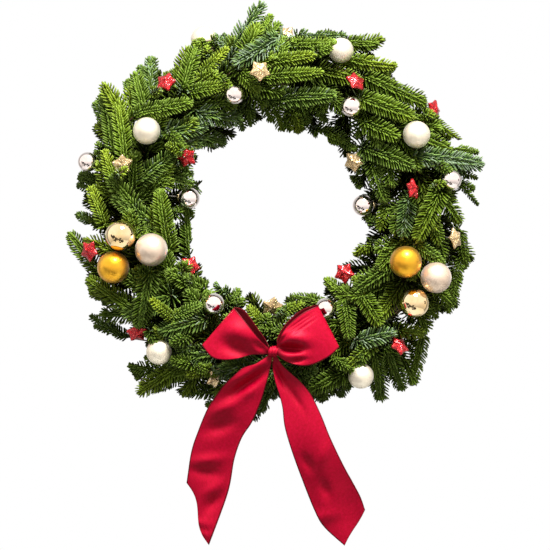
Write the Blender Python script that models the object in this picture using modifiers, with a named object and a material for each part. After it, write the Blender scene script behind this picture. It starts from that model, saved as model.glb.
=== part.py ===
"""Christmas wreath that hangs on a wall.

Branches of fir are wound on a straw ring with wire, each bunch over the foot of the next.
Baubles and stars stand among them on wire picks, and a satin bow is wired on at the bottom.

Metres, +Z up, the front faces -Y. The origin is the hook's place in the hanging loop.
A place on the ring is given by its clock angle in degrees, its radius from the ring's
centre and its depth in front of the straw ring's flat back.
"""
import math

import bmesh
import bpy
import numpy as np
from mathutils import Matrix, Vector

MM = 0.001

# Straw ring
RING_DROP = 155 * MM
RING_RADIUS = 133 * MM
BACK_Y = 1.5 * MM
STRAW_DEPTH = 26 * MM
STRAW_FLAT = 7 * MM
STRAW_SECTION = ((10, 0), (15, 6), (14, 17), (7, 26))
STRAW_STEPS = 40
# The room that stems and needles leave the straw: offsets from its middle, and depths
STRAW_ROOM_WIDTHS = (0, 10.5 * MM, 15.8 * MM, 16.6 * MM, 16.7 * MM)
STRAW_ROOM_DEPTHS = (STRAW_DEPTH, STRAW_DEPTH, 17 * MM, 6 * MM, -1 * MM)
SHOULDER_SLOPE = 1.7
GAP = 0.3 * MM
GROOVE_WIDTH = 2.4 * MM
GROOVE_DEPTH = 1.8 * MM
GROOVE_LENGTH = 36 * MM
MERGE = 0.05 * MM

# Binding wire and hanging loop
TURNS = 16
TURN_STEP = 360 / TURNS
WIRE_RADIUS = 0.5 * MM
WIRE_SIDE = 16.3 * MM
WIRE_SUNK = 0.9 * MM
# A turn's places: degrees from the foot or the groove, offset from the middle radius, depth
WIRE_SHOULDER = (5, 15 * MM, 21 * MM)
WIRE_OVER = (2.5, 7.5 * MM)
WIRE_CORNER = (0.8, 5.5 * MM)
WIRE_IN_GROOVE = 11.8 * MM
WIRE_START = (-4, 14 * MM)
LOOP_HALF_WIDTH = 6 * MM
LOOP_RISE = 6 * MM
LOOP_BENDS = 6
# The hanging loop's feet: degrees beyond its legs, and depth
LOOP_FEET = ((-0.6, 4 * MM), (0.4, 6 * MM), (1.0, 14 * MM))

# Fir
STEM_RADIUS = 1.5 * MM
SHOOT_RADIUS = 1.15 * MM
TIP_RADIUS = 0.75 * MM
NEEDLE_LENGTH = 20 * MM
NEEDLE_BASE = 2.2 * MM
NEEDLE_RADIUS = 0.6 * MM
NEEDLE_FOOT_RADIUS = 1.1 * MM
NEEDLE_SWEEP = 50
NEEDLE_SPLAY = 30
NEEDLE_WOBBLE = 7
# Needles shorten over the last stretch before a tip, to this share; the end needle has its own
NEEDLE_SHORTEST = 0.78
SHORTER_STRETCH = 30 * MM
END_NEEDLE = 0.6
# A needle's foot may come close to its own stem; it is checked for room from this share on
NEEDLE_FOOT = 1.2 * MM
NEEDLE_CHECKED = 0.35
NEEDLE_SHARES = (0.25, 0.5, 0.75, 1.0)
WALL_ROOM = 2 * MM
STRAW_ROOM = 1.0 * MM
STRAW_REACH = 21.5 * MM
WHORL_PITCH = 16 * MM
TIP_BARE = 3 * MM
LEADER_BARE = 22 * MM
SHOOT_BARE = 8 * MM
HOLE_RADIUS = 77 * MM
# Bends a crowded needle tries in turn: change of sweep in degrees, share of its length, side swing
TRIES = ((0, 1, 0), (-12, 1, 0), (12, 1, 0), (0, 0.8, 18), (0, 0.8, -18), (-18, 0.8, 0), (14, 0.65, 0))
SWING_SHARE = 0.6
# Stems: the butt's places in degrees from the foot, steps, how a leader swings out and rises,
# and how a shoot bends: onward, aside and share of its reach
BUTT_SWINGS = (-6, 0, 3)
STEM_STEPS = 12
LEADER_SWING = 1.3
LEADER_LIFT = 1.2
SHOOT_BEND = (0.75, 0.85, 0.35)
LINE_STEPS = 40
LEADER_RODS = 14
SHOOT_RODS = 10
# Rounds in which a stem is bent clear of the rest, then rounds without smoothing
SETTLE_ROUNDS = 14
LAST_ROUNDS = 4
SMOOTHING = 0.4
STEM_CLEARANCE = 1.3 * MM
# Points near a shoot's foot that may touch their own bunch
FOOT_POINTS = 4
BUNCH_NUMBERS = 100

# Bow
RIBBON_THICKNESS = 0.8 * MM
BOW_DEPTH = 76 * MM
PINCH = 1.4 * MM
# The room that stems leave the bow
LOOP_ROW_ROOM = 6 * MM
LOOP_EDGE_ROOM = 5 * MM
KNOT_ROOM = 12 * MM
TAIL_ROOM = 4 * MM

SEED = 2412
rng = np.random.default_rng(SEED)

# Each bunch: clock angle of its foot, then its fingers. A finger has the clock angle and the
# radius in mm of its tip, the tip's depth in mm, and how far along the leader it starts.
# The first finger of a bunch is the leader itself.
BUNCHES = (
    (0, ((30, 140, 51, 0), (19, 172, 11, 0.25), (30, 184, 20, 0.36), (32, 112, 48, 0.45), (24, 86, 10, 0.25))),
    (22, ((52, 142, 51, 0), (40, 174, 17, 0.25), (51, 168, 22, 0.5), (55, 112, 48, 0.45), (48, 86, 12, 0.25))),
    (44, ((72, 134, 53, 0), (69, 181, 13, 0.3), (62, 165, 38, 0.45), (75, 108, 48, 0.45), (70, 84, 12, 0.25))),
    (64, ((95, 143, 53, 0), (77, 195, 27, 0.22), (88, 187, 16, 0.5), (98, 110, 48, 0.58), (92, 85, 14, 0.3))),
    (86, ((115, 136, 51, 0), (103, 181, 19, 0.25), (113, 176, 20, 0.5), (117, 108, 48, 0.45), (110, 85, 10, 0.25))),
    (107, ((136, 134, 53, 0), (122, 184, 13, 0.25), (130, 182, 36, 0.45), (138, 106, 46, 0.45), (129, 85, 10, 0.25))),
    (130, ((158, 138, 47, 0), (141, 199, 21, 0.22), (151, 199, 20, 0.42), (158, 112, 44, 0.45), (148, 85, 12, 0.25))),
    (152, ((180, 140, 45, 0), (163, 182, 14, 0.3), (173, 178, 26, 0.42), (180, 111, 44, 0.45), (171, 85, 14, 0.25))),
    (174, ((203, 140, 47, 0), (187, 190, 11, 0.28), (198, 174, 34, 0.48), (204, 110, 44, 0.45), (196, 86, 12, 0.25))),
    (194, ((224, 136, 51, 0), (208, 190, 11, 0.28), (217, 207, 32, 0.42), (226, 112, 48, 0.45), (218, 86, 12, 0.25))),
    (216, ((246, 138, 51, 0), (225, 201, 15, 0.24), (241, 199, 28, 0.46), (248, 112, 48, 0.45), (240, 88, 12, 0.25))),
    (238, ((268, 136, 53, 0), (251, 190, 11, 0.26), (264, 196, 32, 0.46), (270, 112, 48, 0.45), (262, 86, 12, 0.25))),
    (260, ((290, 140, 53, 0), (275, 190, 15, 0.28), (284, 168, 38, 0.48), (292, 110, 46, 0.45), (284, 86, 12, 0.28))),
    (282, ((312, 142, 53, 0), (296, 193, 13, 0.28), (306, 198, 36, 0.45), (315, 114, 48, 0.45), (306, 88, 12, 0.25))),
    (306, ((334, 138, 53, 0), (321, 188, 15, 0.28), (330, 168, 38, 0.48), (337, 110, 48, 0.45), (328, 87, 12, 0.25))),
    (327, ((357, 140, 53, 0), (340, 178, 9, 0.28), (355, 190, 36, 0.42), (360, 111, 48, 0.45), (350, 87, 12, 0.25))),
)

# Each bauble: name, clock angle, radius, depth of its middle and diameter in mm, material
BAUBLES = (
    ("top_left", 336.7, 174, 29, 24, "bauble_cream"),
    ("top_inner_left", 339.4, 114, 55, 18.5, "bauble_rose"),
    ("top_right", 21.4, 159, 47, 23, "bauble_cream"),
    ("top_inner_right", 35.1, 117, 55, 20, "bauble_rose"),
    ("right_upper", 61.2, 145, 59, 25, "bauble_cream"),
    ("right_edge", 79.8, 162, 47, 19.5, "bauble_rose"),
    ("right_inner", 86, 79, 35, 20, "bauble_rose"),
    ("right_trio_low", 111.9, 126, 63, 29.5, "bauble_gold"),
    ("right_trio_outer", 112.9, 157.5, 55, 28.5, "bauble_champagne"),
    ("right_trio_bottom", 124, 151, 55, 27.5, "bauble_bright_gold"),
    ("bottom_right", 153.3, 170, 47, 23.5, "bauble_cream"),
    ("bow_right", 154.1, 100, 43, 19.5, "bauble_rose"),
    ("bow_left", 214.6, 104, 51, 20, "bauble_rose"),
    ("bottom_left", 220.2, 170, 45, 23.5, "bauble_cream"),
    ("left_trio_top", 261.1, 146, 61, 28.5, "bauble_bright_gold"),
    ("left_trio_inner", 252.9, 121.5, 61, 30, "bauble_champagne"),
    ("left_trio_outer", 251.1, 160, 55, 29.5, "bauble_gold"),
    ("left_inner", 278.3, 83, 37, 20, "bauble_rose"),
    ("left_upper", 301.3, 141, 59, 25, "bauble_cream"),
    ("left_edge", 284.6, 182, 33, 18.5, "bauble_rose"),
)

# Each star: name, clock angle, radius and depth in mm, tilt in its plane, turn to the side, material
STARS = (
    ("top", 352.6, 129, 64, 10, 0, "star_gold"),
    ("top_back", 2.4, 164, 18, 30, 0, "star_gold"),
    ("top_right", 31, 138, 64, 20, 10, "star_red"),
    ("right_top_edge", 56.9, 172, 32, 0, 15, "star_red"),
    ("right_inner", 56.8, 84, 38, 15, 0, "star_gold"),
    ("right_middle", 80.9, 125, 64, 0, 25, "star_red"),
    ("right_low_edge", 98.8, 165, 50, 0, 35, "star_gold"),
    ("right_low_inner", 132.8, 84, 34, 30, 20, "star_red"),
    ("right_low", 138, 167, 50, 0, 10, "star_red"),
    ("bottom_inner", 183.6, 88, 40, 0, 0, "star_gold"),
    ("left_low_inner", 238.1, 96, 44, 20, 0, "star_red"),
    ("left_edge", 258.1, 178, 40, 0, 0, "star_red"),
    ("left_low", 229.3, 172, 38, 10, 0, "star_red"),
    ("bottom_left", 200.6, 164, 46, 0, 20, "star_gold"),
    ("left_inner", 300.5, 98, 50, 0, 0, "star_red"),
    ("left_upper", 286.6, 149, 58, 15, 10, "star_gold"),
    ("top_left", 319, 157, 52, 0, 0, "star_red"),
)
STAR_RADIUS = 10.5 * MM
STAR_INNER = 5.6 * MM
STAR_RIM = 1.2 * MM
STAR_PUFF = 3.2 * MM
STAR_ROOM = 3.0 * MM
PICK_RADIUS = 0.6 * MM
# A pick that isn't over the straw's flat front ends on its shoulder
SHOULDER = (10.5 * MM, 21.5 * MM)
SHOULDER_FACING = (9, 7)
# Baubles: the cap's radius as a share of the ball's diameter, its height as a share of the radius
CAP_RADIUS = 0.2
CAP_LEAST = 3.2 * MM
CAP_HEIGHT = 0.16
BALL_ROOM = 0.2 * MM
BALL_BANDS = 6
BALL_STEPS = 10
LARGE_BALL_STEPS = 12
LARGE_BALL = 27

# Ribbon outlines, from the ring's centre in mm: each pair is an edge of the ribbon, (x, z)
LEFT_TAIL = (
    ((-7, -138.5), (-33, -152), (-57, -178), (-67, -202), (-78, -228), (-84, -253)),
    ((-1.4, -138.5), (-9, -166), (-18, -192), (-32, -214), (-42, -250), (-63.5, -307)),
)
RIGHT_TAIL = (
    ((-0.4, -138.5), (3.5, -157), (4.6, -183), (11, -215), (25, -259), (60.7, -308)),
    ((5, -138.5), (18, -149), (34, -168), (47, -206), (62, -246), (80, -275)),
)
LEFT_LOOP = (
    ((-9, -123.5), (-18, -113), (-30, -99), (-38, -88)),
    ((-9, -132.5), (-22, -137), (-48, -137), (-69, -124)),
)
RIGHT_LOOP = (
    ((7, -123.5), (15, -113), (25, -98), (35, -86)),
    ((7, -132.5), (20, -141), (38, -137), (55.5, -125)),
)
LOOP_BULGE = 9 * MM
LOOP_CROWN = 0.25
LOOP_SPANS = 3
LOOP_STATIONS = (0, 0.22, 0.48, 0.75, 0.93)
KNOT_CENTRE = (-1, -128)
KNOT_OPENING = (3.1 * MM, 7.0 * MM)
KNOT_WALL = 1.5 * MM
KNOT_HALF_LENGTH = 6.5 * MM
KNOT_STEPS = 14
KNOT_SIDES = 6
TAIL_ROWS = 13
TAIL_SPANS = 4
TAIL_END_DEPTH = 50 * MM
TAIL_RIPPLE = 3.5 * MM
TAIL_WAVES = 2.2
TAIL_DRIFT = 4
LEFT_TAIL_PHASE = 0.4
RIGHT_TAIL_PHASE = 2.0

MATERIALS = {
    "straw": ((0.58, 0.42, 0.19, 1), 0.85, 0.0),
    "wire_green": ((0.03, 0.07, 0.035, 1), 0.4, 0.8),
    "fir_green": ((0.045, 0.13, 0.03, 1), 0.5, 0.0),
    "bauble_cream": ((0.88, 0.81, 0.68, 1), 0.25, 0.0),
    "bauble_rose": ((0.93, 0.76, 0.68, 1), 0.08, 1.0),
    "bauble_champagne": ((0.80, 0.64, 0.47, 1), 0.25, 0.6),
    "bauble_gold": ((0.83, 0.52, 0.12, 1), 0.35, 0.9),
    "bauble_bright_gold": ((0.93, 0.70, 0.36, 1), 0.08, 1.0),
    "star_red": ((0.55, 0.01, 0.02, 1), 0.4, 0.3),
    "star_gold": ((0.78, 0.55, 0.25, 1), 0.4, 0.6),
    "ribbon_crimson": ((0.50, 0.005, 0.035, 1), 0.35, 0.0),
}


def clear_scene():
    for obj in list(bpy.data.objects):
        bpy.data.objects.remove(obj, do_unlink=True)


def new_collection(name):
    collection = bpy.data.collections.new(name)
    bpy.context.scene.collection.children.link(collection)
    return collection


def make_materials():
    made = {}
    for name, (colour, roughness, metallic) in MATERIALS.items():
        material = bpy.data.materials.new(name)
        material.use_nodes = True
        shader = material.node_tree.nodes["Principled BSDF"]
        shader.inputs["Base Color"].default_value = colour
        shader.inputs["Roughness"].default_value = roughness
        shader.inputs["Metallic"].default_value = metallic
        made[name] = material
    return made


def spot(clock, radius, depth):
    """The point at a clock angle in degrees, a radius and a depth in metres."""
    angle = math.radians(clock)
    return np.array((radius * math.sin(angle), BACK_Y - depth, radius * math.cos(angle) - RING_DROP))


def radial(clock):
    angle = math.radians(clock)
    return np.array((math.sin(angle), 0.0, math.cos(angle)))


def ring_place(point):
    """The offset from the ring's middle radius, and the depth, of a point."""
    radius = math.hypot(point[0], point[2] + RING_DROP)
    return radius - RING_RADIUS, BACK_Y - point[1]


def unit(vector):
    return vector / max(np.linalg.norm(vector), 1e-12)


class Obstacles:
    """Round-ended rods that stems and needles keep clear of, each with its owner's name."""

    def __init__(self):
        self.starts = np.zeros((0, 3))
        self.ends = np.zeros((0, 3))
        self.radii = np.zeros(0)
        self.owners = np.zeros(0, dtype=int)

    def add(self, start, end, radius, owner=-1):
        self.starts = np.vstack((self.starts, start))
        self.ends = np.vstack((self.ends, end))
        self.radii = np.append(self.radii, radius)
        self.owners = np.append(self.owners, owner)

    def add_path(self, points, radius, owner=-1):
        for start, end in zip(points[:-1], points[1:]):
            self.add(start, end, radius, owner)

    def rod_gaps(self, start, end, skip_owner=-2):
        """Clear distance from a thin rod to each obstacle that another owner has."""
        others = self.owners != skip_owner
        first, last = self.starts[others], self.ends[others]
        along = end - start
        other = last - first
        offset = start - first
        a = float(along @ along)
        e = np.einsum("ij,ij->i", other, other)
        b = other @ along
        c = offset @ along
        f = np.einsum("ij,ij->i", other, offset)
        spread = a * e - b * b
        s = np.where(spread > 1e-18, (b * f - c * e) / np.where(spread > 1e-18, spread, 1), 0)
        s = np.clip(s, 0, 1)
        safe_e = np.where(e > 1e-18, e, 1)
        t = np.where(e > 1e-18, (b * s + f) / safe_e, 0)
        s = np.where(t < 0, np.clip(-c / a, 0, 1), np.where(t > 1, np.clip((b - c) / a, 0, 1), s))
        t = np.clip(t, 0, 1)
        gap = (start + s[:, None] * along) - (first + t[:, None] * other)
        return np.linalg.norm(gap, axis=1) - self.radii[others]

    def push_out(self, point, clearance, skip_bunch=-2):
        """Move a point until it is clear of every obstacle outside the bunch that is named."""
        others = self.owners // BUNCH_NUMBERS != skip_bunch
        if not others.any():
            return point
        first, last, radii = self.starts[others], self.ends[others], self.radii[others]
        other = last - first
        lengths = np.maximum(np.einsum("ij,ij->i", other, other), 1e-18)
        t = np.clip(np.einsum("ij,ij->i", point - first, other) / lengths, 0, 1)
        away = point - (first + t[:, None] * other)
        distance = np.linalg.norm(away, axis=1)
        lack = radii + clearance - distance
        short = lack > 0
        if not short.any():
            return point
        moves = away[short] / np.maximum(distance[short], 1e-9)[:, None] * lack[short][:, None]
        return point + moves.sum(axis=0)


def straw_depth(offset):
    """How deep the straw reaches at an offset from its middle radius."""
    return float(np.interp(abs(offset), STRAW_ROOM_WIDTHS, STRAW_ROOM_DEPTHS))


def lift_off_straw(point, clearance):
    offset, depth = ring_place(point)
    slope = 1.0 if abs(offset) <= STRAW_FLAT else SHOULDER_SLOPE
    lowest = straw_depth(offset) + clearance * slope
    if depth < lowest:
        point = point.copy()
        point[1] = BACK_Y - lowest
    return point


# Straw ring

def make_straw_ring(collection, cutters, material):
    """A D-shaped section turned round the ring's middle, with wire grooves in its flat back."""
    half = [(RING_RADIUS + w * MM, BACK_Y - d * MM) for w, d in STRAW_SECTION]
    other = [(RING_RADIUS - w * MM, BACK_Y - d * MM) for w, d in reversed(STRAW_SECTION)]
    section = half + other
    mesh = bpy.data.meshes.new("straw_ring")
    edges = [(i, (i + 1) % len(section)) for i in range(len(section))]
    mesh.from_pydata([(x, y, 0) for x, y in section], edges, [])
    ring = bpy.data.objects.new("straw_ring", mesh)
    ring.location.z = -RING_DROP
    collection.objects.link(ring)
    mesh.materials.append(material)
    turn = ring.modifiers.new("turn", "SCREW")
    turn.axis = "Y"
    turn.steps = STRAW_STEPS
    turn.render_steps = STRAW_STEPS
    turn.use_merge_vertices = True
    turn.merge_threshold = MERGE
    turn.use_normal_flip = False
    grooves = bmesh.new()
    for index in range(TURNS):
        clock = groove_clock(index)
        middle = spot(clock, RING_RADIUS, 0)
        size = Matrix.Diagonal((GROOVE_WIDTH, 2 * GROOVE_DEPTH, GROOVE_LENGTH, 1))
        turn_matrix = Matrix.Rotation(math.radians(clock), 4, "Y")
        matrix = Matrix.Translation(middle) @ turn_matrix @ size
        bmesh.ops.create_cube(grooves, size=1, matrix=matrix)
    cutter_mesh = bpy.data.meshes.new("grooves")
    grooves.to_mesh(cutter_mesh)
    grooves.free()
    cutter = bpy.data.objects.new("grooves", cutter_mesh)
    cutter.hide_render = True
    cutter.display_type = "WIRE"
    cutters.objects.link(cutter)
    cut = ring.modifiers.new("grooves", "BOOLEAN")
    cut.object = cutter
    cut.operation = "DIFFERENCE"
    cut.solver = "EXACT"
    return ring


# Binding wire

def groove_clock(index):
    return (index + 0.5) * TURN_STEP


def wire_turn(index):
    """One turn of the wire: over a bunch's foot at the front, straight across the back."""
    foot = BUNCHES[index][0]
    over = STRAW_DEPTH + 2 * GAP + 2 * STEM_RADIUS + WIRE_RADIUS
    back = groove_clock(index)
    swing, aside, low = WIRE_SHOULDER
    over_swing, over_aside = WIRE_OVER
    turn_swing, turn_depth = WIRE_CORNER
    return [
        spot(foot - swing, RING_RADIUS + aside, low),
        spot(foot - over_swing, RING_RADIUS + over_aside, over),
        spot(foot + over_swing, RING_RADIUS - over_aside, over),
        spot(foot + swing, RING_RADIUS - aside, low),
        spot(back - turn_swing, RING_RADIUS - WIRE_SIDE, turn_depth),
        spot(back, RING_RADIUS - WIRE_IN_GROOVE, WIRE_SUNK),
        spot(back, RING_RADIUS + WIRE_IN_GROOVE, WIRE_SUNK),
        spot(back + turn_swing, RING_RADIUS + WIRE_SIDE, turn_depth),
    ]


def wire_points():
    """The wire's whole run: its turns, then the stretch bent up into the hanging loop."""
    side = RING_RADIUS + WIRE_SIDE
    points = [spot(WIRE_START[0], side, WIRE_START[1])]
    for index in range(TURNS):
        points += wire_turn(index)
    leg = math.degrees(LOOP_HALF_WIDTH / side)
    first, second, last = LOOP_FEET
    points.append(spot(-leg + first[0], side, first[1]))
    for step in range(LOOP_BENDS + 1):
        swing = math.pi * step / LOOP_BENDS
        sideways = -LOOP_HALF_WIDTH * math.cos(swing)
        rise = LOOP_RISE * math.sin(swing)
        points.append(np.array((sideways, 0.0, WIRE_RADIUS - LOOP_RISE + rise)))
    points.append(spot(leg + second[0], side, second[1]))
    points.append(spot(leg + last[0], side, last[1]))
    return points


def make_binding_wire(collection, material, obstacles):
    """One wire wound round straw and stems, its last stretch bent up into the hanging loop."""
    points = wire_points()
    wire = make_wire("binding_wire", points, WIRE_RADIUS, 0)
    wire.data.materials.append(material)
    collection.objects.link(wire)
    obstacles.add_path(points, WIRE_RADIUS)
    return wire


def make_wire(name, points, radius, resolution):
    """A curve with round section and filled ends along points."""
    data = bpy.data.curves.new(name, "CURVE")
    data.dimensions = "3D"
    data.bevel_depth = radius
    data.bevel_resolution = resolution
    data.use_fill_caps = True
    spline = data.splines.new("POLY")
    spline.points.add(len(points) - 1)
    for target, point in zip(spline.points, points):
        target.co = (*point, 1)
    return bpy.data.objects.new(name, data)


# Wire picks

def pick_seat(clock, radius, start):
    """Where a pick from start meets the straw, on its flat front or its slanted shoulder."""
    offset = radius - RING_RADIUS
    if abs(offset) <= STRAW_FLAT:
        surface = spot(clock, radius, STRAW_DEPTH)
        outward = np.array((0.0, -1.0, 0.0))
    else:
        side = math.copysign(1, offset)
        surface = spot(clock, RING_RADIUS + side * SHOULDER[0], SHOULDER[1])
        outward = unit(SHOULDER_FACING[0] * side * radial(clock) + (0.0, -SHOULDER_FACING[1], 0.0))
    lean = unit(start - surface)
    tilt = math.sqrt(max(0.0, 1 - float(lean @ outward) ** 2))
    return surface + outward * (GAP + PICK_RADIUS * tilt)


def aim(start, end):
    """A matrix that puts +Z along a rod from start to end."""
    direction = Vector(end - start)
    turn = direction.to_track_quat("Z", "Y").to_matrix().to_4x4()
    return Matrix.Translation(Vector(start)) @ turn


# Baubles

def bauble_profile(ball, reach):
    """Half outline from the pick's end, over the cap and the ball, to the front pole."""
    cap = max(CAP_LEAST, CAP_RADIUS * ball * 2)
    cap_top = ball + CAP_HEIGHT * ball
    cap_foot = math.sqrt(ball * ball - cap * cap)
    outline = [(0, reach), (PICK_RADIUS, reach), (PICK_RADIUS, cap_top), (cap, cap_top)]
    first = math.acos(cap_foot / ball)
    for step in range(BALL_BANDS + 1):
        angle = first + (math.pi - first) * step / BALL_BANDS
        outline.append((ball * math.sin(angle), ball * math.cos(angle)))
    outline[-1] = (0, -ball)
    return outline


def make_bauble(collection, materials, obstacles, place):
    name, clock, radius, depth, diameter, material = place
    ball = diameter * MM / 2
    centre = spot(clock, radius * MM, depth * MM)
    seat = pick_seat(clock, radius * MM, centre)
    reach = float(np.linalg.norm(seat - centre))
    outline = bauble_profile(ball, reach)
    mesh = bpy.data.meshes.new("bauble_" + name)
    edges = [(i, i + 1) for i in range(len(outline) - 1)]
    mesh.from_pydata([(x, 0, z) for x, z in outline], edges, [])
    mesh.materials.append(materials[material])
    bauble = bpy.data.objects.new("bauble_" + name, mesh)
    bauble.matrix_world = aim(centre, seat)
    collection.objects.link(bauble)
    turn = bauble.modifiers.new("turn", "SCREW")
    turn.steps = LARGE_BALL_STEPS if diameter > LARGE_BALL else BALL_STEPS
    turn.render_steps = turn.steps
    turn.use_merge_vertices = True
    turn.merge_threshold = MERGE
    turn.use_smooth_shade = True
    obstacles.add(centre, centre + 1e-6, ball + BALL_ROOM)
    obstacles.add(centre, seat, PICK_RADIUS)
    cap_end = centre + unit(seat - centre) * ball * (1 + CAP_HEIGHT)
    obstacles.add(centre, cap_end, max(CAP_LEAST, CAP_RADIUS * ball * 2))
    return bauble


# Stars

def star_mesh(name):
    """A puffed five-pointed star: a ten-sided plate with every other corner drawn in."""
    mesh = bpy.data.meshes.new(name)
    shape = bmesh.new()
    bmesh.ops.create_cone(
        shape, cap_ends=True, segments=10, radius1=STAR_RADIUS, radius2=STAR_RADIUS, depth=2 * STAR_RIM
    )
    for vertex in shape.verts:
        corner = round(math.degrees(math.atan2(vertex.co.x, vertex.co.y)) / 36)
        if corner % 2:
            vertex.co.x *= STAR_INNER / STAR_RADIUS
            vertex.co.y *= STAR_INNER / STAR_RADIUS
    caps = [face for face in shape.faces if len(face.verts) == 10]
    raised = bmesh.ops.poke(shape, faces=caps)["verts"]
    for vertex in raised:
        vertex.co.z += math.copysign(STAR_PUFF - STAR_RIM, vertex.co.z)
    shape.to_mesh(mesh)
    shape.free()
    return mesh


def rod_object(name, start, end, radius, sides):
    """A straight rod with capped ends."""
    mesh = bpy.data.meshes.new(name)
    shape = bmesh.new()
    length = float(np.linalg.norm(end - start))
    matrix = aim(start, end) @ Matrix.Translation((0, 0, length / 2))
    bmesh.ops.create_cone(
        shape, cap_ends=True, segments=sides, radius1=radius, radius2=radius, depth=length, matrix=matrix
    )
    shape.to_mesh(mesh)
    shape.free()
    return bpy.data.objects.new(name, mesh)


def make_star(collection, materials, obstacles, place):
    name, clock, radius, depth, tilt, turn, material = place
    centre = spot(clock, radius * MM, depth * MM)
    seat = pick_seat(clock, radius * MM, centre)
    mesh = star_mesh("star_" + name)
    facing = Matrix.Rotation(math.radians(90), 4, "X")
    spin = Matrix.Rotation(math.radians(turn), 4, "Z") @ Matrix.Rotation(math.radians(tilt), 4, "Y")
    placed = Matrix.Translation(Vector(centre)) @ spin @ facing
    mesh.transform(placed)
    mesh.materials.append(materials[material])
    star = bpy.data.objects.new("star_" + name, mesh)
    collection.objects.link(star)
    pick = rod_object("pick", centre, seat, PICK_RADIUS, 3)
    fuse(star, [pick], "EXACT")
    obstacles.add(centre, seat, PICK_RADIUS)
    for corner in range(5):
        angle = math.radians(72 * corner)
        tip = placed @ Vector((STAR_RADIUS * math.sin(angle), STAR_RADIUS * math.cos(angle), 0))
        obstacles.add(centre, np.array(tip), STAR_ROOM)
    return star


def fuse(target, pieces, solver):
    """Join pieces to a target in one Boolean union and drop the pieces."""
    group = bpy.data.collections.new("joined")
    bpy.context.scene.collection.children.link(group)
    for piece in pieces:
        group.objects.link(piece)
    union = target.modifiers.new("join", "BOOLEAN")
    union.operation = "UNION"
    union.operand_type = "COLLECTION"
    union.collection = group
    union.solver = solver
    graph = bpy.context.evaluated_depsgraph_get()
    joined = bpy.data.meshes.new_from_object(target.evaluated_get(graph))
    target.modifiers.clear()
    old = target.data
    joined.name = old.name + "_joined"
    target.data = joined
    for piece in pieces:
        bpy.data.objects.remove(piece, do_unlink=True)
    bpy.data.collections.remove(group)


# Bow

def along(points, share):
    """A point at a share of the way along a smooth curve through hand-set points."""
    knots = np.array(points, dtype=float)
    count = len(knots)
    at = min(share * (count - 1), count - 1 - 1e-9)
    index = int(at)
    t = at - index
    before = knots[max(index - 1, 0)]
    first = knots[index]
    second = knots[index + 1]
    after = knots[min(index + 2, count - 1)]
    return 0.5 * (
        2 * first
        + (second - before) * t
        + (2 * before - 5 * first + 4 * second - after) * t * t
        + (3 * first - before - 3 * second + after) * t ** 3
    )


def bow_point(flat, depth):
    return np.array((flat[0] * MM, BACK_Y - depth, flat[1] * MM - RING_DROP))


def band_mesh(name, rows, closed):
    """A ribbon from rows of points across it, as an open sheet that Solidify thickens."""
    mesh = bpy.data.meshes.new(name)
    shape = bmesh.new()
    grid = [[shape.verts.new(point) for point in row] for row in rows]
    pairs = list(zip(grid, grid[1:] + grid[:1])) if closed else list(zip(grid, grid[1:]))
    for near, far in pairs:
        for i in range(len(near) - 1):
            shape.faces.new((near[i], near[i + 1], far[i + 1], far[i]))
    bmesh.ops.recalc_face_normals(shape, faces=shape.faces)
    shape.to_mesh(mesh)
    shape.free()
    return mesh


def thicken(obj):
    sheet = obj.modifiers.new("thickness", "SOLIDIFY")
    sheet.thickness = RIBBON_THICKNESS
    sheet.offset = 0
    sheet.use_even_offset = True


def loop_row(outline, share, layer):
    """A row across a bow loop: layer 1 is in front, -1 behind and 0 at the outer fold."""
    top = along(outline[0], share)
    bottom = along(outline[1], share)
    swell = PINCH + LOOP_BULGE * math.sqrt(max(0.0, 4 * share * (1 - share)))
    row = []
    for step in range(LOOP_SPANS + 1):
        across = step / LOOP_SPANS
        flat = top + (bottom - top) * across
        crown = 1 + LOOP_CROWN * math.sin(math.pi * across)
        row.append(bow_point(flat, BOW_DEPTH + layer * (PINCH + (swell - PINCH) * crown)))
    return row


def make_bow_loops(collection, material, obstacles):
    """Both loops as one closed band that is pinched at the knot."""
    stations = [(LEFT_LOOP, 1, 0)]
    stations += [(LEFT_LOOP, share, 1) for share in reversed(LOOP_STATIONS)]
    stations += [(RIGHT_LOOP, share, 1) for share in LOOP_STATIONS]
    stations += [(RIGHT_LOOP, 1, 0)]
    stations += [(RIGHT_LOOP, share, -1) for share in reversed(LOOP_STATIONS)]
    stations += [(LEFT_LOOP, share, -1) for share in LOOP_STATIONS]
    rows = [loop_row(*station) for station in stations]
    mesh = band_mesh("bow_loops", rows, True)
    mesh.materials.append(material)
    loops = bpy.data.objects.new("bow_loops", mesh)
    collection.objects.link(loops)
    thicken(loops)
    for row in rows:
        obstacles.add_path(row, LOOP_ROW_ROOM)
    for row, after in zip(rows, rows[1:] + rows[:1]):
        for near, far in zip(row, after):
            obstacles.add(near, far, LOOP_EDGE_ROOM)
    return loops


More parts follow.
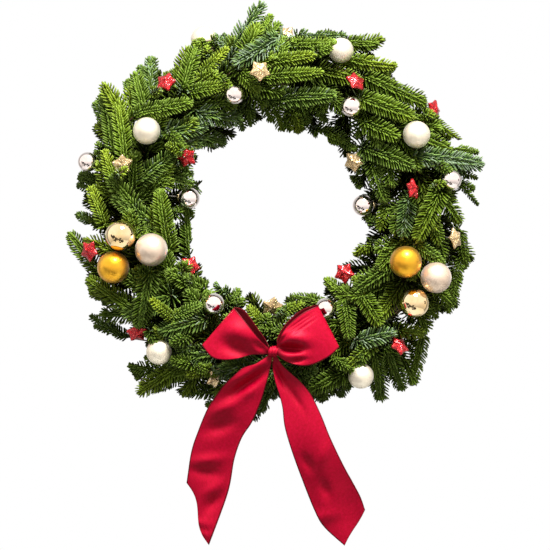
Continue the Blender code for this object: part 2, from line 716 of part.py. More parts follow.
def make_bow_knot(collection, material, obstacles):
    """The wrap round the bow's pinch: a ring drawn out to an oval, with a bulged wall."""
    bpy.ops.mesh.primitive_torus_add(
        major_segments=KNOT_STEPS, minor_segments=KNOT_SIDES, major_radius=1, minor_radius=0.25
    )
    knot = bpy.context.object
    knot.name = "bow_knot"
    knot.data.name = "bow_knot"
    for vertex in knot.data.vertices:
        x, y, z = vertex.co
        around = math.atan2(y, x)
        rise = (math.hypot(x, y) - 1) / 0.25
        length = z / 0.25
        deep = KNOT_OPENING[0] + KNOT_WALL * (1 + rise)
        tall = KNOT_OPENING[1] + KNOT_WALL * (1 + rise)
        vertex.co = (
            KNOT_CENTRE[0] * MM + length * KNOT_HALF_LENGTH,
            BACK_Y - BOW_DEPTH + deep * math.cos(around),
            KNOT_CENTRE[1] * MM - RING_DROP + tall * math.sin(around),
        )
    knot.data.materials.append(material)
    for owner in list(knot.users_collection):
        owner.objects.unlink(knot)
    collection.objects.link(knot)
    centre = bow_point(KNOT_CENTRE, BOW_DEPTH)
    obstacles.add(centre, centre + 1e-6, KNOT_ROOM)
    return knot


def tail_row(outline, share, phase):
    """A row across a tail, which ripples and falls back towards the wall as it comes down."""
    left = along(outline[0], share)
    right = along(outline[1], share)
    row = []
    for step in range(TAIL_SPANS + 1):
        across = step / TAIL_SPANS
        flat = left + (right - left) * across
        fall = BOW_DEPTH + (TAIL_END_DEPTH - BOW_DEPTH) * share
        ease = min(1.0, share * 4)
        ripple = TAIL_RIPPLE * ease * math.sin(TAIL_WAVES * math.pi * across + phase + TAIL_DRIFT * share)
        row.append(bow_point(flat, fall + ripple))
    return row


def make_tail(collection, material, obstacles, name, outline, phase):
    rows = [tail_row(outline, step / (TAIL_ROWS - 1), phase) for step in range(TAIL_ROWS)]
    mesh = band_mesh(name, rows, False)
    mesh.materials.append(material)
    tail = bpy.data.objects.new(name, mesh)
    collection.objects.link(tail)
    thicken(tail)
    for row, after in zip(rows, rows[1:]):
        obstacles.add_path(row, TAIL_ROOM)
        for near, far in zip(row, after):
            obstacles.add(near, far, TAIL_ROOM)
    return tail


def make_tie_wire(collection, material, obstacles):
    """The wire that ties the bow's knot to the straw."""
    knot_back = BOW_DEPTH - KNOT_OPENING[0] - 2 * KNOT_WALL - GAP
    start = bow_point(KNOT_CENTRE, knot_back)
    end = bow_point(KNOT_CENTRE, STRAW_DEPTH + GAP)
    wire = rod_object("bow_wire", start, end, PICK_RADIUS, 6)
    wire.data.materials.append(material)
    collection.objects.link(wire)
    obstacles.add(start, end, PICK_RADIUS)
    return wire


# Fir

def resample(points, count):
    """Points evenly spaced along a line."""
    steps = np.linalg.norm(np.diff(points, axis=0), axis=1)
    reach = np.concatenate(([0], np.cumsum(steps)))
    wanted = np.linspace(0, reach[-1], count)
    return np.stack([np.interp(wanted, reach, points[:, axis]) for axis in range(3)], axis=1)


def settle(points, fixed, radius, obstacles, bunch):
    """Bend a stem clear of the straw and of everything placed before it."""
    clearance = radius + STEM_CLEARANCE
    for turn in range(SETTLE_ROUNDS + LAST_ROUNDS):
        for index in range(fixed, len(points)):
            skip = bunch if index < fixed + FOOT_POINTS else -2
            points[index] = obstacles.push_out(points[index], clearance, skip)
            points[index] = lift_off_straw(points[index], radius + GAP)
        if turn >= SETTLE_ROUNDS:
            continue
        for index in range(fixed, len(points) - 1):
            middle = (points[index - 1] + points[index + 1]) / 2
            points[index] = points[index] * (1 - SMOOTHING) + middle * SMOOTHING
    return points


def butt_path(foot):
    low = STRAW_DEPTH + GAP + STEM_RADIUS
    return np.array([spot(foot + swing, RING_RADIUS, low) for swing in BUTT_SWINGS])


def leader_path(foot, finger, obstacles, bunch):
    """The bunch's main branch: flat on the straw under the wire, then rising clockwise."""
    tip_clock, tip_radius, tip_depth, _ = finger
    low = STRAW_DEPTH + GAP + STEM_RADIUS
    start = foot + BUTT_SWINGS[-1]
    points = list(butt_path(foot))
    for step in range(1, STEM_STEPS + 1):
        share = step / STEM_STEPS
        points.append(spot(
            start + (tip_clock - start) * share,
            RING_RADIUS + (tip_radius * MM - RING_RADIUS) * share ** LEADER_SWING,
            low + (tip_depth * MM - low) * share ** LEADER_LIFT,
        ))
    return settle(np.array(points), len(BUTT_SWINGS), STEM_RADIUS, obstacles, bunch)


def shoot_path(leader, finger, obstacles, bunch):
    """A side shoot: it leaves the leader at a wide angle and bends forward to its tip."""
    tip_clock, tip_radius, tip_depth, start_share = finger
    line = resample(leader, LINE_STEPS + 1)
    index = int(round(start_share * LINE_STEPS))
    start = line[index]
    onward = unit(line[index + 1] - line[index - 1])
    tip = spot(tip_clock, tip_radius * MM, tip_depth * MM)
    reach = np.linalg.norm(tip - start)
    aside = (tip - start) - onward * float((tip - start) @ onward)
    bend = start + unit(SHOOT_BEND[0] * onward + SHOOT_BEND[1] * unit(aside)) * reach * SHOOT_BEND[2]
    points = []
    for step in range(STEM_STEPS + 1):
        t = step / STEM_STEPS
        points.append((1 - t) ** 2 * start + 2 * t * (1 - t) * bend + t * t * tip)
    return settle(np.array(points), 1, SHOOT_RADIUS, obstacles, bunch)


def ring_frame(tangent, twist):
    """Two axes square to a stem, turned about it."""
    side = unit(np.cross(tangent, (0.0, 1.0, 0.0)))
    up = np.cross(tangent, side)
    return side * math.cos(twist) + up * math.sin(twist), up * math.cos(twist) - side * math.sin(twist)


def whorl_places(length, bare):
    """Distances along a stem at which its whorls of needles stand."""
    stretch = length - bare - TIP_BARE
    count = max(1, round(stretch / WHORL_PITCH))
    pitch = stretch / count
    return [bare + pitch * index for index in range(count + 1)]


def finger_mesh(name, path, radii, bare, obstacles, owner):
    """A slim three-sided stem with whorls of needles raised from it."""
    steps = 2 * LINE_STEPS
    line = resample(path, steps + 1)
    length = float(np.sum(np.linalg.norm(np.diff(line, axis=0), axis=1)))
    stations = [0.0]
    whorls = whorl_places(length, bare)
    for place in whorls:
        stations += [place, place + NEEDLE_BASE]
    shape = bmesh.new()
    rings = []
    tangents = []
    for index, station in enumerate(stations):
        share = min(station / length, 1)
        at = min(int(share * steps), steps - 1)
        tangent = unit(line[min(at + 2, steps)] - line[max(at - 2, 0)])
        centre = line[at] + (line[at + 1] - line[at]) * (share * steps - at)
        twist = math.radians(60) * ((index + 1) // 2)
        side, up = ring_frame(tangent, twist * 0.5)
        radius = radii[0] + (radii[1] - radii[0]) * share
        ring = []
        for corner in range(3):
            angle = 2 * math.pi * corner / 3
            offset = side * math.cos(angle) + up * math.sin(angle)
            ring.append(shape.verts.new(centre + offset * radius))
        rings.append(ring)
        tangents.append(tangent)
    seats = []
    shape.faces.new(list(reversed(rings[0])))
    for index, (near, far) in enumerate(zip(rings, rings[1:])):
        for corner in range(3):
            after = (corner + 1) % 3
            low = shape.faces.new((near[corner], near[after], far[corner]))
            high = shape.faces.new((near[after], far[after], far[corner]))
            if index % 2 == 1:
                seats += [(low, tangents[index], -1), (high, tangents[index], 1)]
    tip_cap = shape.faces.new(rings[-1])
    shape.normal_update()
    last = line[-1]
    for face, tangent, side_sign in seats:
        root = np.array(face.calc_center_median())
        outward = np.array(face.normal)
        outward = unit(outward - tangent * float(outward @ tangent))
        sideways = np.cross(tangent, outward)
        splay = math.radians(NEEDLE_SPLAY) * side_sign
        heading = outward * math.cos(splay) + sideways * math.sin(splay)
        to_tip = float(np.linalg.norm(last - root))
        growth = NEEDLE_SHORTEST + (1 - NEEDLE_SHORTEST) * min(1, to_tip / SHORTER_STRETCH)
        full = NEEDLE_LENGTH * growth * rng.uniform(0.9, 1.1)
        wobble = rng.uniform(-NEEDLE_WOBBLE, NEEDLE_WOBBLE)
        tip = find_tip(root, tangent, heading, sideways, full, wobble, obstacles, owner)
        if tip is None:
            continue
        raised = bmesh.ops.poke(shape, faces=[face])["verts"][0]
        raised.co = tip
        obstacles.add(root + (tip - root) * 0.1, tip, NEEDLE_RADIUS, owner)
    end = np.array(tip_cap.calc_center_median())
    ahead = tangents[-1]
    tip = find_tip(end, ahead, ahead, ahead, NEEDLE_LENGTH * END_NEEDLE, 0, obstacles, owner)
    if tip is not None:
        raised = bmesh.ops.poke(shape, faces=[tip_cap])["verts"][0]
        raised.co = tip
        obstacles.add(end, tip, NEEDLE_RADIUS, owner)
    bmesh.ops.recalc_face_normals(shape, faces=shape.faces)
    mesh = bpy.data.meshes.new(name)
    shape.to_mesh(mesh)
    shape.free()
    return mesh


def find_tip(root, tangent, heading, sideways, length, wobble, obstacles, owner):
    """The end of a needle that is clear of everything else, or None where there is no room."""
    for lean, scale, swing in TRIES:
        sweep = math.radians(NEEDLE_SWEEP + lean + wobble)
        direction = tangent * math.cos(sweep) + heading * math.sin(sweep)
        direction = unit(direction + sideways * math.tan(math.radians(swing)) * SWING_SHARE)
        tip = root + direction * length * scale
        if needle_is_clear(root + direction * NEEDLE_FOOT, tip, obstacles, owner):
            return tip
    return None


def needle_is_clear(start, tip, obstacles, owner):
    for share in NEEDLE_SHARES:
        offset, depth = ring_place(start + (tip - start) * share)
        if depth < WALL_ROOM or offset + RING_RADIUS < HOLE_RADIUS:
            return False
        if depth < straw_depth(offset) + STRAW_ROOM and abs(offset) < STRAW_REACH:
            return False
    middle = (start + tip) / 2
    low = float(obstacles.rod_gaps(start, middle, owner).min())
    high = float(obstacles.rod_gaps(middle, tip, owner).min())
    if low < NEEDLE_FOOT_RADIUS + GAP or high < NEEDLE_RADIUS + GAP:
        return False
    outer = start + (tip - start) * NEEDLE_CHECKED
    return float(obstacles.rod_gaps(outer, tip).min()) > NEEDLE_RADIUS + GAP


def place_stems(obstacles):
    """The paths of every bunch's leader and side shoots, each bent clear of the rest."""
    for number, (foot, _) in enumerate(BUNCHES):
        obstacles.add_path(butt_path(foot), STEM_RADIUS, number * BUNCH_NUMBERS)
    placed = []
    for number, (foot, fingers) in enumerate(BUNCHES):
        leader = leader_path(foot, fingers[0], obstacles, number)
        paths = [leader]
        obstacles.add_path(resample(leader, LEADER_RODS), STEM_RADIUS, number * BUNCH_NUMBERS)
        for shoot, finger in enumerate(fingers[1:], 1):
            path = shoot_path(leader, finger, obstacles, number)
            paths.append(path)
            obstacles.add_path(resample(path, SHOOT_RODS), SHOOT_RADIUS, number * BUNCH_NUMBERS + shoot)
        placed.append(paths)
    return placed


def make_fir(collection, material, obstacles):
    """Place every stem first, then grow needles into the room left, the front fingers first."""
    placed = place_stems(obstacles)
    order = [(number, index) for number, paths in enumerate(placed) for index in range(len(paths))]
    order.sort(key=lambda pair: -BUNCHES[pair[0]][1][pair[1]][2])
    meshes = {}
    for number, index in order:
        bare = LEADER_BARE if index == 0 else SHOOT_BARE
        radii = (STEM_RADIUS, TIP_RADIUS) if index == 0 else (SHOOT_RADIUS, TIP_RADIUS)
        name = f"finger_{number}_{index}"
        path = placed[number][index]
        meshes[number, index] = finger_mesh(name, path, radii, bare, obstacles, number * BUNCH_NUMBERS + index)
    for number, paths in enumerate(placed):
        name = f"fir_bunch_{number + 1:02d}"
        mesh = meshes[number, 0]
        mesh.name = name
        mesh.materials.append(material)
        bunch = bpy.data.objects.new(name, mesh)
        collection.objects.link(bunch)
        shoots = []
        for index in range(1, len(paths)):
            shoots.append(bpy.data.objects.new("shoot", meshes[number, index]))
        fuse(bunch, shoots, "MANIFOLD")


def main():
    clear_scene()
    collection = new_collection("christmas_wreath")
    cutters = new_collection("cutters")
    materials = make_materials()
    obstacles = Obstacles()
    make_straw_ring(collection, cutters, materials["straw"])
    make_binding_wire(collection, materials["wire_green"], obstacles)
    for place in BAUBLES:
        make_bauble(collection, materials, obstacles, place)
    for place in STARS:
        make_star(collection, materials, obstacles, place)
    ribbon = materials["ribbon_crimson"]
    make_bow_loops(collection, ribbon, obstacles)
    make_bow_knot(collection, ribbon, obstacles)
    make_tail(collection, ribbon, obstacles, "ribbon_tail_left", LEFT_TAIL, LEFT_TAIL_PHASE)
    make_tail(collection, ribbon, obstacles, "ribbon_tail_right", RIGHT_TAIL, RIGHT_TAIL_PHASE)
    make_tie_wire(collection, materials["wire_green"], obstacles)
    make_fir(collection, materials["fir_green"], obstacles)


main()
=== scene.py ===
"""The looks of the christmas wreath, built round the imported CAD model.

Metres, +Z up, the front faces -Y. A place on the ring is given by its clock angle in degrees,
its radius from the ring's centre and its depth in front of the straw ring's flat back.
The fir's stems follow the same rules as in the CAD source, so each piece keeps its node's form.
"""

import math

import bpy
import numpy as np
from mathutils import Matrix, Vector

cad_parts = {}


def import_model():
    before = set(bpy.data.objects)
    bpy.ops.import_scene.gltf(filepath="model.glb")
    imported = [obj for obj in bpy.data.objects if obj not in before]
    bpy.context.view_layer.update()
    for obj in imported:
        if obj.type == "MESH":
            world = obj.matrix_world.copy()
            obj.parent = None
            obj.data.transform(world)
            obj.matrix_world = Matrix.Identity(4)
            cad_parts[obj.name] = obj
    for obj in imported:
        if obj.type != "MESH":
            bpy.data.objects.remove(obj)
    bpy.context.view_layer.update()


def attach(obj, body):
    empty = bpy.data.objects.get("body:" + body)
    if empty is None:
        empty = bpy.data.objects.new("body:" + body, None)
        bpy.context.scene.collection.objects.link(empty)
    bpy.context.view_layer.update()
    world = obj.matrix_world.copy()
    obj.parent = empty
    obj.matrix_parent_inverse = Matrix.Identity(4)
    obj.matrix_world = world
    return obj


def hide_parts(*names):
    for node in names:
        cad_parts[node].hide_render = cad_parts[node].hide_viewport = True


MM = 0.001
BODY = "root"

# Picture: the ring's centre and the scale of the photograph, at 550 by 550 pixels
PICTURE_SIDE = 550
RING_PIXEL = (278, 211)
PIXEL = 0.92 * MM
CAMERA_DISTANCE = 2.6
SENSOR = 36.0

# Straw ring
RING_DROP = 155 * MM
RING_RADIUS = 133 * MM
BACK_Y = 1.5 * MM
STRAW_DEPTH = 26 * MM
STRAW_FLAT = 7 * MM
STRAW_MIDDLE = 13 * MM
STRAW_CORE = 0.92
STALKS = 900
STRAW_SECTION = ((10, 0), (15, 6), (14, 17), (7, 26))
STRAW_STEPS = 180
STRAW_COLUMNS = 30
# How deep the wire presses into the straw, and how far to each side of a groove, in degrees
WIRE_DENT = 0.9 * MM
DENT_WIDTH = 1.2
# Stalks: degrees of the ring that one spans, its drift round the section in columns, its radius
# in mm, how far its middle stands out and how far the wire presses it in, as shares of the section
STALK_SPAN = (12, 36)
STALK_DRIFT = 1.4
STALK_RADIUS = (0.5, 1.0)
STALK_LIFT = 0.045
STALK_PRESSED = 0.05
# The room that stems and needles leave the straw: offsets from its middle, and depths
STRAW_ROOM_WIDTHS = (0, 10.5 * MM, 15.8 * MM, 16.6 * MM, 16.7 * MM)
STRAW_ROOM_DEPTHS = (STRAW_DEPTH, STRAW_DEPTH, 17 * MM, 6 * MM, -1 * MM)
SHOULDER_SLOPE = 1.7
GAP = 0.3 * MM

# Binding wire and hanging loop
TURNS = 16
TURN_STEP = 360 / TURNS
WIRE_RADIUS = 0.5 * MM
WIRE_SIDE = 16.3 * MM
WIRE_SUNK = 0.9 * MM
# A turn's places: degrees from the foot or the groove, offset from the middle radius, depth
WIRE_SHOULDER = (5, 15 * MM, 21 * MM)
WIRE_OVER = (2.5, 7.5 * MM)
WIRE_CORNER = (0.8, 5.5 * MM)
WIRE_IN_GROOVE = 11.8 * MM
WIRE_START = (-4, 14 * MM)
LOOP_HALF_WIDTH = 6 * MM
LOOP_RISE = 6 * MM
LOOP_BENDS = 6
# The hanging loop's feet: degrees beyond its legs, and depth
LOOP_FEET = ((-0.6, 4 * MM), (0.4, 6 * MM), (1.0, 14 * MM))
# The bow's tie wire: its two strands' turns round each other, the points along each, its distance
# from their middle and its radius
TIE_TURNS = 7
TIE_STEPS = 60
TIE_SWING = 0.3 * MM
TIE_RADIUS = 0.34 * MM

# Fir
STEM_RADIUS = 1.5 * MM
SHOOT_RADIUS = 1.15 * MM
TIP_RADIUS = 0.75 * MM
LEADER_BARE = 14 * MM
SHOOT_BARE = 3 * MM
NEEDLE_HOLE_RADIUS = 71 * MM
NEEDLE_LENGTH = 15 * MM
TWIG_NEEDLE_LENGTH = 13 * MM
NEEDLE_WIDTH = 1.7 * MM
NEEDLE_THICKNESS = 0.8 * MM
# Ranks of needles round a stem: degrees from its front, share of the full length, sweep in
# degrees, and how much painted shade dims the rank
RANKS = (
    (0, 0.62, 36, 0), (38, 0.76, 50, 0), (-38, 0.76, 50, 0), (74, 1.0, 70, 0), (-74, 1.0, 70, 0),
    (108, 0.96, 74, 0.28), (-108, 0.96, 74, 0.28),
)
# Ranks at the back of the fingers beneath, which close the gaps between them, dimmed with painted shade
BACK_RANKS = ((142, 0.85, 66, 0.45), (-142, 0.85, 66, 0.45))
SPRAY_SPACING = 2.5 * MM
FINGER_SPACING = 3.0 * MM
TIP_NEEDLES = 22
TIP_REACH = 3 * MM
# How far a needle or a twig bends on towards its stem's tip, in degrees
CLOSING = 24
# Stems: the butt's places in degrees from the foot, steps, how a leader swings out and rises,
# and how a shoot bends: onward, aside and share of its reach
BUTT_SWINGS = (-6, 0, 3)
STEM_STEPS = 12
LEADER_SWING = 1.3
LEADER_LIFT = 1.2
SHOOT_BEND = (0.75, 0.85, 0.35)
LINE_STEPS = 40
FINE_STEPS = 60
LEADER_RODS = 14
SHOOT_RODS = 10
# Rounds in which a stem is bent clear of the rest, then rounds without smoothing
SETTLE_ROUNDS = 14
LAST_ROUNDS = 4
SMOOTHING = 0.4
STEM_CLEARANCE = 1.3 * MM
# Points near a shoot's foot that may touch their own bunch
FOOT_POINTS = 4
BUNCH_NUMBERS = 100
GOLDEN_SHARE = 0.618
# Share of the bluest growth's needles that show their pale underside, none from a freshness on
PALE_SHARE = 0.50
PALE_FRESHNESS = 0.32
# The way a needle's flat side leans, on top of outward from its stem
FACE_LEAN = np.array((0.0, -1.0, 0.35))
# Rings of a needle: share of its length, share of its width; fewer at the back and deep inside
NEEDLE_RINGS = ((0.0, 0.6), (0.35, 1.0), (0.86, 0.8))
DEEP_NEEDLE_RINGS = ((0.0, 0.75), (0.8, 0.95))
DEEP_FROM = 0.75
# Side twigs of a finger: share along it at which one stands, and to which side
TWIGS = ((0.20, 1), (0.42, -1))
TWIG_RADIUS = 0.8 * MM
TWIG_BARE = 2 * MM
TWIG_REACH = (16 * MM, 42 * MM)
# The foliage's front: how far from the wall it lies, radius by radius, in mm
DOME_RADII = (76, 95, 115, 135, 155, 175, 195, 210)
DOME_DEPTHS = (24, 40, 52, 56, 50, 38, 24, 16)
# How far behind the front a spray's foot lies, in mm, then the painted shade in the gaps: how far
# behind the front it is darkest, and how dark it gets on fingers and on sprays
SPRAY_FOOT = 11
SUNK_REACH = 17 * MM
SUNK_PAINTED_SHADE = 0.52
SPRAY_PAINTED_SHADE = 0.26

# Bow
BOW_DEPTH = 76 * MM
PINCH = 1.4 * MM
# Painted shade round the knot: how dark it is, and how far it reaches.
KNOT_SHADE = 0.55
KNOT_SHADE_REACH = 14 * MM
RIBBON_WIDTH = 40 * MM
RIBBON_THICKNESS = 0.5 * MM
TAIL_STEPS = 110
LOOP_STEPS = 36
LOOP_BULGE = 9 * MM
KNOT_CENTRE = (-1, -128)
KNOT_OPENING = (3.1 * MM, 7.0 * MM)
KNOT_WALL = 1.5 * MM
SATIN_KNOT = (-4, -128.6)
SATIN_KNOT_OPENING = (2.0 * MM, 1.9 * MM)
SATIN_KNOT_HALF_LENGTH = 4.6 * MM
TAIL_END_DEPTH = 50 * MM
TAIL_BULGE = 5 * MM
SATIN_RIPPLE = 0.7 * MM
SATIN_CROWN = 0.35
# The plain loops and tails that the stems keep clear of
LOOP_CROWN = 0.25
LOOP_SPANS = 3
TAIL_SPANS = 4
TAIL_RIPPLE = 3.5 * MM
TAIL_WAVES = 2.2
TAIL_DRIFT = 4
LEFT_TAIL_PHASE = 0.4
RIGHT_TAIL_PHASE = 2.0
# The room that stems leave the bow, then the room that needles leave it
LOOP_ROW_ROOM = 6 * MM
LOOP_EDGE_ROOM = 5 * MM
KNOT_ROOM = 12 * MM
TAIL_ROOM = 4 * MM
BOW_REACH = 3 * MM
BOW_NEAR_DEPTH = 38 * MM
BEHIND_BOW = 2.0 * MM

# Stars and picks
STAR_RADIUS = 10.5 * MM
STAR_FAT_INNER = 6.9 * MM
STAR_ROUNDED = 0.97
STAR_RIM = 1.2 * MM
STAR_PUFF = 4.4 * MM
STAR_ROOM = 3.0 * MM
PICK_RADIUS = 0.6 * MM
# A pick that isn't over the straw's flat front ends on its shoulder
SHOULDER = (10.5 * MM, 21.5 * MM)
SHOULDER_FACING = (9, 7)
# Baubles: the cap's radius as a share of the ball's diameter, its height as a share of the radius
CAP_RADIUS = 0.2
CAP_LEAST = 3.2 * MM
CAP_HEIGHT = 0.16
CAP_CRIMP = 0.05
CAP_CRIMPS = 20
BALL_ROOM = 0.2 * MM
BALL_RINGS = 28
BALL_STEPS = 42
# Needles' middle lines are moved this far off a ball. This near a star's middle, aside and in
# depth, they go behind it, or before it where they start in front of a covered star.
BALL_CLEARANCE = 0.7 * MM
STAR_REACH = (9.5 * MM, 9 * MM)
STAR_FRONT = 2 * MM
BEHIND_STAR = 4.5 * MM
BEFORE_STAR = 6.5 * MM

# Studio
KEY_PLACE = (0.35, -1.05, 1.6)
KEY_SIZE = 0.7
KEY_POWER = 88
SHELL_RADIUS = 3.2
SHELL_LOW = -40
SHELL_GLOW = 1.25
# Dark things across the room, in groups: direction and height in degrees from the wreath,
# distance, spread in degrees, number
DARK_CLUSTERS = (
    (-64, -10, 2.4, 9, 7), (-42, -24, 1.6, 9, 7), (-16, -36, 1.3, 9, 7), (10, -42, 1.2, 6, 4),
    (88, 2, 2.5, 3, 2),
)
WALL_GAP = 0.12
WALL_SIDE = 1.3
WORLD_LOW = 0.12
WORLD_HIGH = 0.55

SEED = 2412
rng = np.random.default_rng(SEED)

# Each bunch: clock angle of its foot, then its fingers. A finger has the clock angle and the
# radius in mm of its tip, the tip's depth in mm, and how far along the leader it starts.
# The first finger of a bunch is the leader itself.
BUNCHES = (
    (0, ((30, 140, 51, 0), (19, 172, 11, 0.25), (30, 184, 20, 0.36),
         (32, 112, 48, 0.45), (24, 86, 10, 0.25))),
    (22, ((52, 142, 51, 0), (40, 174, 17, 0.25), (51, 168, 22, 0.5),
          (55, 112, 48, 0.45), (48, 86, 12, 0.25))),
    (44, ((72, 134, 53, 0), (69, 181, 13, 0.3), (62, 165, 38, 0.45),
          (75, 108, 48, 0.45), (70, 84, 12, 0.25))),
    (64, ((95, 143, 53, 0), (77, 195, 27, 0.22), (88, 187, 16, 0.5),
          (98, 110, 48, 0.58), (92, 85, 14, 0.3))),
    (86, ((115, 136, 51, 0), (103, 181, 19, 0.25), (113, 176, 20, 0.5),
          (117, 108, 48, 0.45), (110, 85, 10, 0.25))),
    (107, ((136, 134, 53, 0), (122, 184, 13, 0.25), (130, 182, 36, 0.45),
           (138, 106, 46, 0.45), (129, 85, 10, 0.25))),
    (130, ((158, 138, 47, 0), (141, 199, 21, 0.22), (151, 199, 20, 0.42),
           (158, 112, 44, 0.45), (148, 85, 12, 0.25))),
    (152, ((180, 140, 45, 0), (163, 182, 14, 0.3), (173, 178, 26, 0.42),
           (180, 111, 44, 0.45), (171, 85, 14, 0.25))),
    (174, ((203, 140, 47, 0), (187, 190, 11, 0.28), (198, 174, 34, 0.48),
           (204, 110, 44, 0.45), (196, 86, 12, 0.25))),
    (194, ((224, 136, 51, 0), (208, 190, 11, 0.28), (217, 207, 32, 0.42),
           (226, 112, 48, 0.45), (218, 86, 12, 0.25))),
    (216, ((246, 138, 51, 0), (225, 201, 15, 0.24), (241, 199, 28, 0.46),
           (248, 112, 48, 0.45), (240, 88, 12, 0.25))),
    (238, ((268, 136, 53, 0), (251, 190, 11, 0.26), (264, 196, 32, 0.46),
           (270, 112, 48, 0.45), (262, 86, 12, 0.25))),
    (260, ((290, 140, 53, 0), (275, 190, 15, 0.28), (284, 168, 38, 0.48),
           (292, 110, 46, 0.45), (284, 86, 12, 0.28))),
    (282, ((312, 142, 53, 0), (296, 193, 13, 0.28), (306, 198, 36, 0.45),
           (315, 114, 48, 0.45), (306, 88, 12, 0.25))),
    (306, ((334, 138, 53, 0), (321, 188, 15, 0.28), (330, 168, 38, 0.48),
           (337, 110, 48, 0.45), (328, 87, 12, 0.25))),
    (327, ((357, 140, 53, 0), (340, 178, 9, 0.28), (355, 190, 36, 0.42),
           (360, 111, 48, 0.45), (350, 87, 12, 0.25))),
)

# How fresh the growth at each finger's tip is, bunch by bunch:
# 0 is blue-green, 0.35 deep green, 0.6 leaf green and 1 yellow-green
FRESHNESS = (
    (0.75, 0.12, 0.80, 0.45, 0.75),
    (0.70, 0.85, 0.75, 0.45, 0.50),
    (0.50, 0.60, 0.50, 0.40, 0.45),
    (0.85, 0.05, 0.35, 0.45, 0.45),
    (0.50, 0.60, 0.55, 0.50, 0.80),
    (0.75, 0.45, 0.50, 0.50, 0.55),
    (0.65, 0.45, 0.40, 0.50, 0.50),
    (0.40, 0.75, 0.40, 0.35, 0.40),
    (0.45, 0.35, 0.55, 0.40, 0.80),
    (0.95, 0.85, 0.75, 0.40, 0.40),
    (0.50, 0.45, 0.40, 0.50, 0.50),
    (0.50, 0.45, 0.85, 0.70, 0.50),
    (0.50, 0.80, 0.80, 0.70, 0.45),
    (0.50, 0.60, 0.85, 0.70, 0.45),
    (0.75, 0.45, 0.80, 0.45, 0.40),
    (0.70, 0.60, 0.15, 0.50, 0.50),
)
DEEP_GREEN = 0.38

